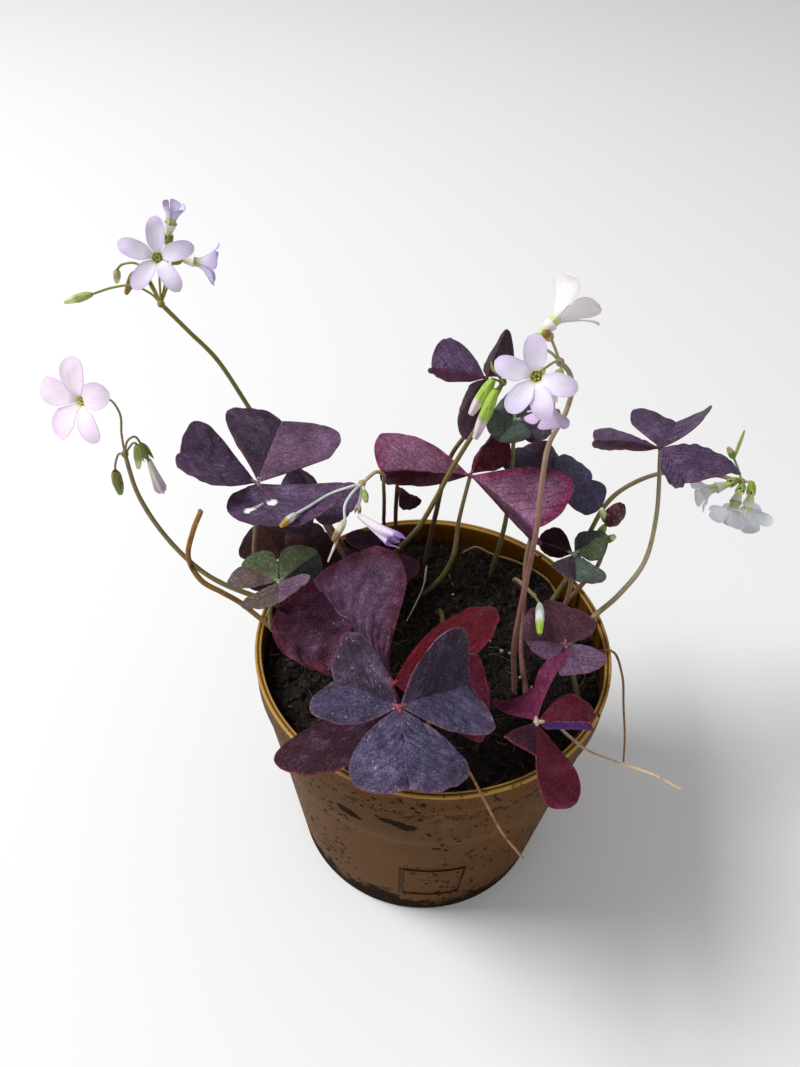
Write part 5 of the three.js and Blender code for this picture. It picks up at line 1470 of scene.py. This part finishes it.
def pot_plastic():
    """Brown plastic with painted light on the top of its rim, and stuck soil. Heights are in millimetres
    above the ground.
    """
    material, tree, shader = start_material("pot_plastic")
    place = own_place(tree)
    x, y, z = (place.axis(letter) * (1 / MM) for letter in "XYZ")
    plastic = tree.node("RGB")
    plastic.socket.default_value = tree_colour(92, 56, 8)
    broad = place.noise(22.0, 3.0)
    base = plastic.blend(tree_colour(70, 40, 8), broad.step(0.4, 0.7) * 0.5)
    film = place.noise(120.0, 5.0, 0.7)
    base = base.blend(tree_colour(120, 80, 26), film.step(0.52, 0.75) * 0.3)
    scratch = place.stretched((1.0, 1.0, 5.0)).noise(90.0, 4.0, 0.7)
    base = base.blend(tree_colour(60, 38, 20), scratch.step(0.55, 0.72) * 0.3)
    # the top of the rim is painted light ochre where the light falls on it, and dirt lies in the groove
    # between its two ridges
    far = (x * x + y * y).maths("SQRT")
    lit_rim_top = z.step(TOP - 1.2, TOP - 0.3)
    base = base.blend(tree_colour(196, 152, 80), lit_rim_top * 0.85)
    groove = (far - (RIM - 1.35)).maths("ABSOLUTE").step(0.5, 0.2) * lit_rim_top
    base = base.blend(tree_colour(70, 46, 22), groove * 0.9)
    # soil: flecks of three sizes, smears, and a crust along the foot
    ragged = place.noise(210.0, 5.0, 0.72) - 0.5
    flecks = place.noise(380.0, 4.0, 0.7).step(0.6, 0.63) * place.noise(38.0, 3.0).step(0.46, 0.6)
    dirt = place.cells(260.0).step(0.27, 0.2) * place.noise(45.0, 3.0).step(0.52, 0.6)
    specks = place.cells(640.0).step(0.2, 0.14) * place.noise(60.0, 2.0).step(0.42, 0.6)
    crust = (z + ragged * 44 + (place.noise(35.0, 2.0) - 0.5) * 26).step(13.0, 8.0)
    under_collar = LEDGE - 1.5 - z + ragged * 30 + (place.noise(30.0, 2.0) - 0.5) * 20
    stuck = under_collar.maths("ABSOLUTE").step(1.6, 0.8)
    shake = place.noise(160.0, 5.0, 0.65, output="Color")
    shake_x, shake_z = shake.axis("X") - 0.5, shake.axis("Y") - 0.5
    smears = 0.0
    for middle_x, middle_z, half_wide, half_high in SMEARS:
        sideways = (x + shake_x * 9 - middle_x) * (1 / half_wide)
        upwards = (z + shake_z * 9 - middle_z + (x - middle_x) * 0.15) * (1 / half_high)
        far_off = sideways.maths("POWER", 2.0) + upwards.maths("POWER", 2.0)
        smears = far_off.step(1.1, 0.9) * y.step(-40.0, -50.0) + smears
    soil_mark = dirt.maths("MAXIMUM", specks * 0.9).maths("MAXIMUM", flecks).maths("MAXIMUM", crust)
    soil_mark = soil_mark.maths("MAXIMUM", smears).maths("MAXIMUM", stuck * 0.6)
    base = base.blend(tree_colour(20, 12, 8), soil_mark * 0.92)
    skin = attribute(tree, "skin", "Color")
    base = base.blend(skin, attribute(tree, "skin", "Alpha"))
    roughness = 0.46 + broad * 0.15 + soil_mark * 0.4
    height = soil_mark * (0.6 + ragged) + scratch * 0.12 + film * 0.1
    shader.inputs["IOR"].default_value = 1.2
    shader.inputs["Specular IOR Level"].default_value = 0.3
    finish_material(tree, shader, base, roughness, height, DIRT_RELIEF)
    return material


POT_PLASTIC = pot_plastic()
BARE = np.array([0.3, 0.15, 0.05, 0.0])

# %% The pot with its drain holes
outline = pot_outline()
shell = loft(turned(np.zeros(3), UP, outline[:, 0] + AXIS_GAP, outline[:, 1], POT_SIDES), BARE)
FRAME_TURN, FRAME_HEIGHT, BAR = (-97.4, -73.5), (18.2, 44.5), 0.5
BAR_TURN = math.degrees(BAR / wall_radius(30))
bars = [
    frame_bar(FRAME_TURN, (FRAME_HEIGHT[0], FRAME_HEIGHT[0] + BAR)),
    frame_bar(FRAME_TURN, (FRAME_HEIGHT[1] - BAR, FRAME_HEIGHT[1])),
    frame_bar((FRAME_TURN[0], FRAME_TURN[0] + BAR_TURN), FRAME_HEIGHT),
    frame_bar((FRAME_TURN[1] - BAR_TURN, FRAME_TURN[1]), FRAME_HEIGHT),
    frame_bar((FRAME_TURN[0] - 2.6 * BAR_TURN, FRAME_TURN[0] - 1.6 * BAR_TURN), FRAME_HEIGHT),
]
pot = piece("pot_skin", [shell], POT_PLASTIC, "pot_plastic", "pot")
cutters = []
for n in range(DRAINS["count"]):
    turn = 2 * math.pi * (n + 0.5) / DRAINS["count"]
    centre = np.array([math.cos(turn), math.sin(turn), 0]) * DRAINS["ring"]
    drain = turned(centre, UP, np.full(2, DRAINS["radius"]), DRAINS["heights"], 32)
    cutters.append(loft(drain, BARE))
cut(pot, cutters, POT_PLASTIC)
piece("pot_moulded_frame", bars, POT_PLASTIC, "pot_plastic")
print("pot faces", len(pot.data.polygons))

# %% [markdown]
# ## Soil
#
# The soil is one dark body, rough with crumbs. Over it lie loose crumbs, white perlite, and hundreds of
# short fibres. A particle system could strew them, but a seeded draw gives the same soil each time, and all
# crumbs can be made at once as one array. Each crumb is a lumpy ball of a few faces.


# %% Soil surface
def soil_height(x, y):
    """Low lumps, as sums and products of slow sines, round the soil's level."""
    lumps = np.sin(x * 0.19 + 1) * np.cos(y * 0.16) + 0.6 * np.sin(x * 0.37 - y * 0.29)
    lumps = lumps + 0.5 * np.cos(y * 0.45 + x * 0.13)
    return 100 + 0.8 * lumps


def rough_height(x, y):
    """The soil's height with two sizes of crumbs on it, each a noise whose peaks are kept."""
    place = np.stack([x, y, 0 * x], -1)
    crumbs = np.abs(noise(place, 2.6, 21)) * 1.5 + np.abs(noise(place, 1.2, 22)) * 0.9
    return soil_height(x, y) + crumbs - 0.8 + 1.2 * noise(place, 11.0, 23)


SOIL_RADIUS = 62.0
SOIL_RINGS, SOIL_SIDES = 110, 300
DARK_SOIL = colour(26, 19, 14)
WET_SOIL = colour(15, 12, 10)
radius = np.linspace(0.02, 1, SOIL_RINGS)[:, None] * SOIL_RADIUS
angle = round_turn(SOIL_SIDES)[None, :]
x, y = radius * np.cos(angle), radius * np.sin(angle)
top = np.stack([x, y, rough_height(x, y)], -1)
foot_of_soil = np.stack([x[-1] * 0.8, y[-1] * 0.8, np.full(SOIL_SIDES, BASE + GAP)], -1)
side = np.stack([x[-1] * 0.99, y[-1] * 0.99, np.full(SOIL_SIDES, LEDGE - 3)], -1)
rings = np.concatenate([top, side[None], foot_of_soil[None]])
brown = 0.5 + 0.5 * noise(rings, 7.0, 24)
ground = loft(rings, mix(WET_SOIL, DARK_SOIL, brown))
print("soil points", len(ground["points"]))


# %% Crumbs, perlite and fibres
def lumps(centres, sizes, skins, draw):
    """Many small lumpy balls at once: a ring of six points between two of three, each point pushed in or
    out by a random amount, copied to every centre."""
    rings = []
    for height, wide, turn in ((-0.75, 0.62, 0.0), (-0.1, 1.0, 0.5), (0.7, 0.66, 1.0)):
        angle = 2 * np.pi * (np.arange(6) + turn) / 6
        rings.append(np.stack([wide * np.cos(angle), wide * np.sin(angle), 0 * angle + height], -1))
    shape = np.concatenate([rings[0], rings[1], rings[2], [[0, 0, -1.0], [0, 0, 1.0]]])
    quads = grid_faces(2, 6, closed=True)
    side = np.arange(6)
    following = (side + 1) % 6
    bottom = np.stack([np.full(6, 18), following, side], -1)
    cap = np.stack([np.full(6, 19), 12 + side, 12 + following], -1)
    faces = np.concatenate([bottom, cap])
    count = len(centres)
    push = draw.uniform(0.7, 1.25, (count, len(shape), 1))
    squash = draw.uniform(0.6, 1.3, (count, 1, 3))
    points = centres[:, None] + shape * push * squash * sizes[:, None, None]
    step = (np.arange(count) * len(shape))[:, None, None]
    skin = np.repeat(skins, len(shape), axis=0)
    return part(
        points.reshape(-1, 3), (quads + step).reshape(-1, 4), (faces + step).reshape(-1, 3), skin
    )


FIBRE_EDGE = 60.5


def fibres(starts, turns, lengths, thickness, skins, draw):
    """Many short bent fibres at once: each is six rings of four points along an arc that rises with a sine
    and falls back to the soil."""
    count = len(starts)
    t = np.linspace(0, 1, 6)[None, :]
    bend = draw.uniform(-1.2, 1.2, (count, 1))
    heading = turns[:, None] + bend * t
    run = lengths[:, None] / 5
    x = starts[:, :1] + np.cumsum(np.cos(heading) * run, 1)
    y = starts[:, 1:2] + np.cumsum(np.sin(heading) * run, 1)
    inside = np.minimum(1, FIBRE_EDGE / np.hypot(x, y))
    x, y = x * inside, y * inside
    z = rough_height(x, y) + 0.25 + draw.uniform(0.1, 1.6, (count, 1)) * np.sin(np.pi * t)
    line = np.stack([x, y, z], -1)
    side = np.stack([-np.sin(heading), np.cos(heading), 0 * heading], -1) * thickness[:, None, None]
    up = UP * thickness[:, None, None]
    rings = np.stack([line + side, line + up, line - side, line - up], 2)
    quads = grid_faces(5, 4, closed=True)
    ends = np.array([[3, 2, 1], [3, 1, 0], [20, 21, 22], [20, 22, 23]])
    step = (np.arange(count) * 24)[:, None, None]
    return part(
        rings.reshape(-1, 3), (quads + step).reshape(-1, 4), (ends + step).reshape(-1, 3),
        np.repeat(skins, 24, axis=0),
    )


CRUMB_EDGE = 61.0


def scatter(count, draw):
    """Random places on the soil: the square root makes them as dense at the rim as in the middle."""
    far = CRUMB_EDGE * np.sqrt(draw.uniform(0, 1, count))
    turn = draw.uniform(0, 2 * np.pi, count)
    x, y = far * np.cos(turn), far * np.sin(turn)
    return np.column_stack([x, y, rough_height(x, y)])


SEED = 7
CRUMBS, FIBRES = 2600, 760
DRY_CRUMB = colour(58, 42, 30)
PERLITE_SHADE = colour(196, 172, 150)
DARK_FIBRE, PALE_FIBRE = colour(40, 28, 18), colour(150, 126, 92)

draw = np.random.default_rng(SEED)
crumb_places = scatter(CRUMBS, draw)
crumb_sizes = draw.uniform(0.25, 1.0, CRUMBS) ** 1.5 * 1.5 + 0.2
crumb_shades = mix(WET_SOIL, DRY_CRUMB, draw.uniform(0, 1, CRUMBS) ** 2)
crumbs = lumps(crumb_places, crumb_sizes, crumb_shades, draw)
PERLITE = [(30, -6, 102.5, 1.3), (33, -10, 102.4, 1.0), (26, 2, 102.3, 0.8), (29, 1, 102.4, 0.7),
           (36, -14, 102.2, 0.8), (22, 7, 102, 0.7), (-38, -12, 102, 0.7), (8, 30, 102, 0.6)]
perlite = np.array(PERLITE, float)
grits = lumps(perlite[:, :3], perlite[:, 3], np.tile(PERLITE_SHADE, (len(PERLITE), 1)), draw)
fibre_places = scatter(FIBRES, draw)
fibre_shades = mix(DARK_FIBRE, PALE_FIBRE, draw.uniform(0, 1, FIBRES) ** 3)
fibre_turns = draw.uniform(0, 2 * np.pi, FIBRES)
fibre_lengths = draw.uniform(2, 9, FIBRES)
fibre_radii = draw.uniform(0.05, 0.15, FIBRES)
litter = fibres(fibre_places, fibre_turns, fibre_lengths, fibre_radii, fibre_shades, draw)
print("crumbs", CRUMBS, "perlite", len(PERLITE), "fibres", FIBRES)


# %% [markdown]
# ## Soil finish
#
# Moist soil is nearly black and dull, with paler grains. A flat brown would look like clay, so the colour of
# each crumb is broken up by fine noise, which also raises a little relief.

# %% Soil finish
def soil_finish():
    """Dark, dull and grainy."""
    material, tree, shader = start_material("soil")
    place = own_place(tree)
    skin = attribute(tree, "skin", "Color")
    coarse = place.noise(420.0, 4.0, 0.7)
    base = skin.blend(tree_colour(6, 5, 4), coarse.step(0.5, 0.3) * 0.7)
    base = base.blend(tree_colour(96, 74, 54), coarse.step(0.62, 0.8) * 0.25)
    shader.inputs["Specular IOR Level"].default_value = 0.3
    finish_material(tree, shader, base, 0.75 + coarse * 0.2, coarse, 0.0008)
    return material


SOIL_FINISH = soil_finish()
piece("soil_skin", [ground, crumbs, grits, litter], SOIL_FINISH, "potting_soil", "soil")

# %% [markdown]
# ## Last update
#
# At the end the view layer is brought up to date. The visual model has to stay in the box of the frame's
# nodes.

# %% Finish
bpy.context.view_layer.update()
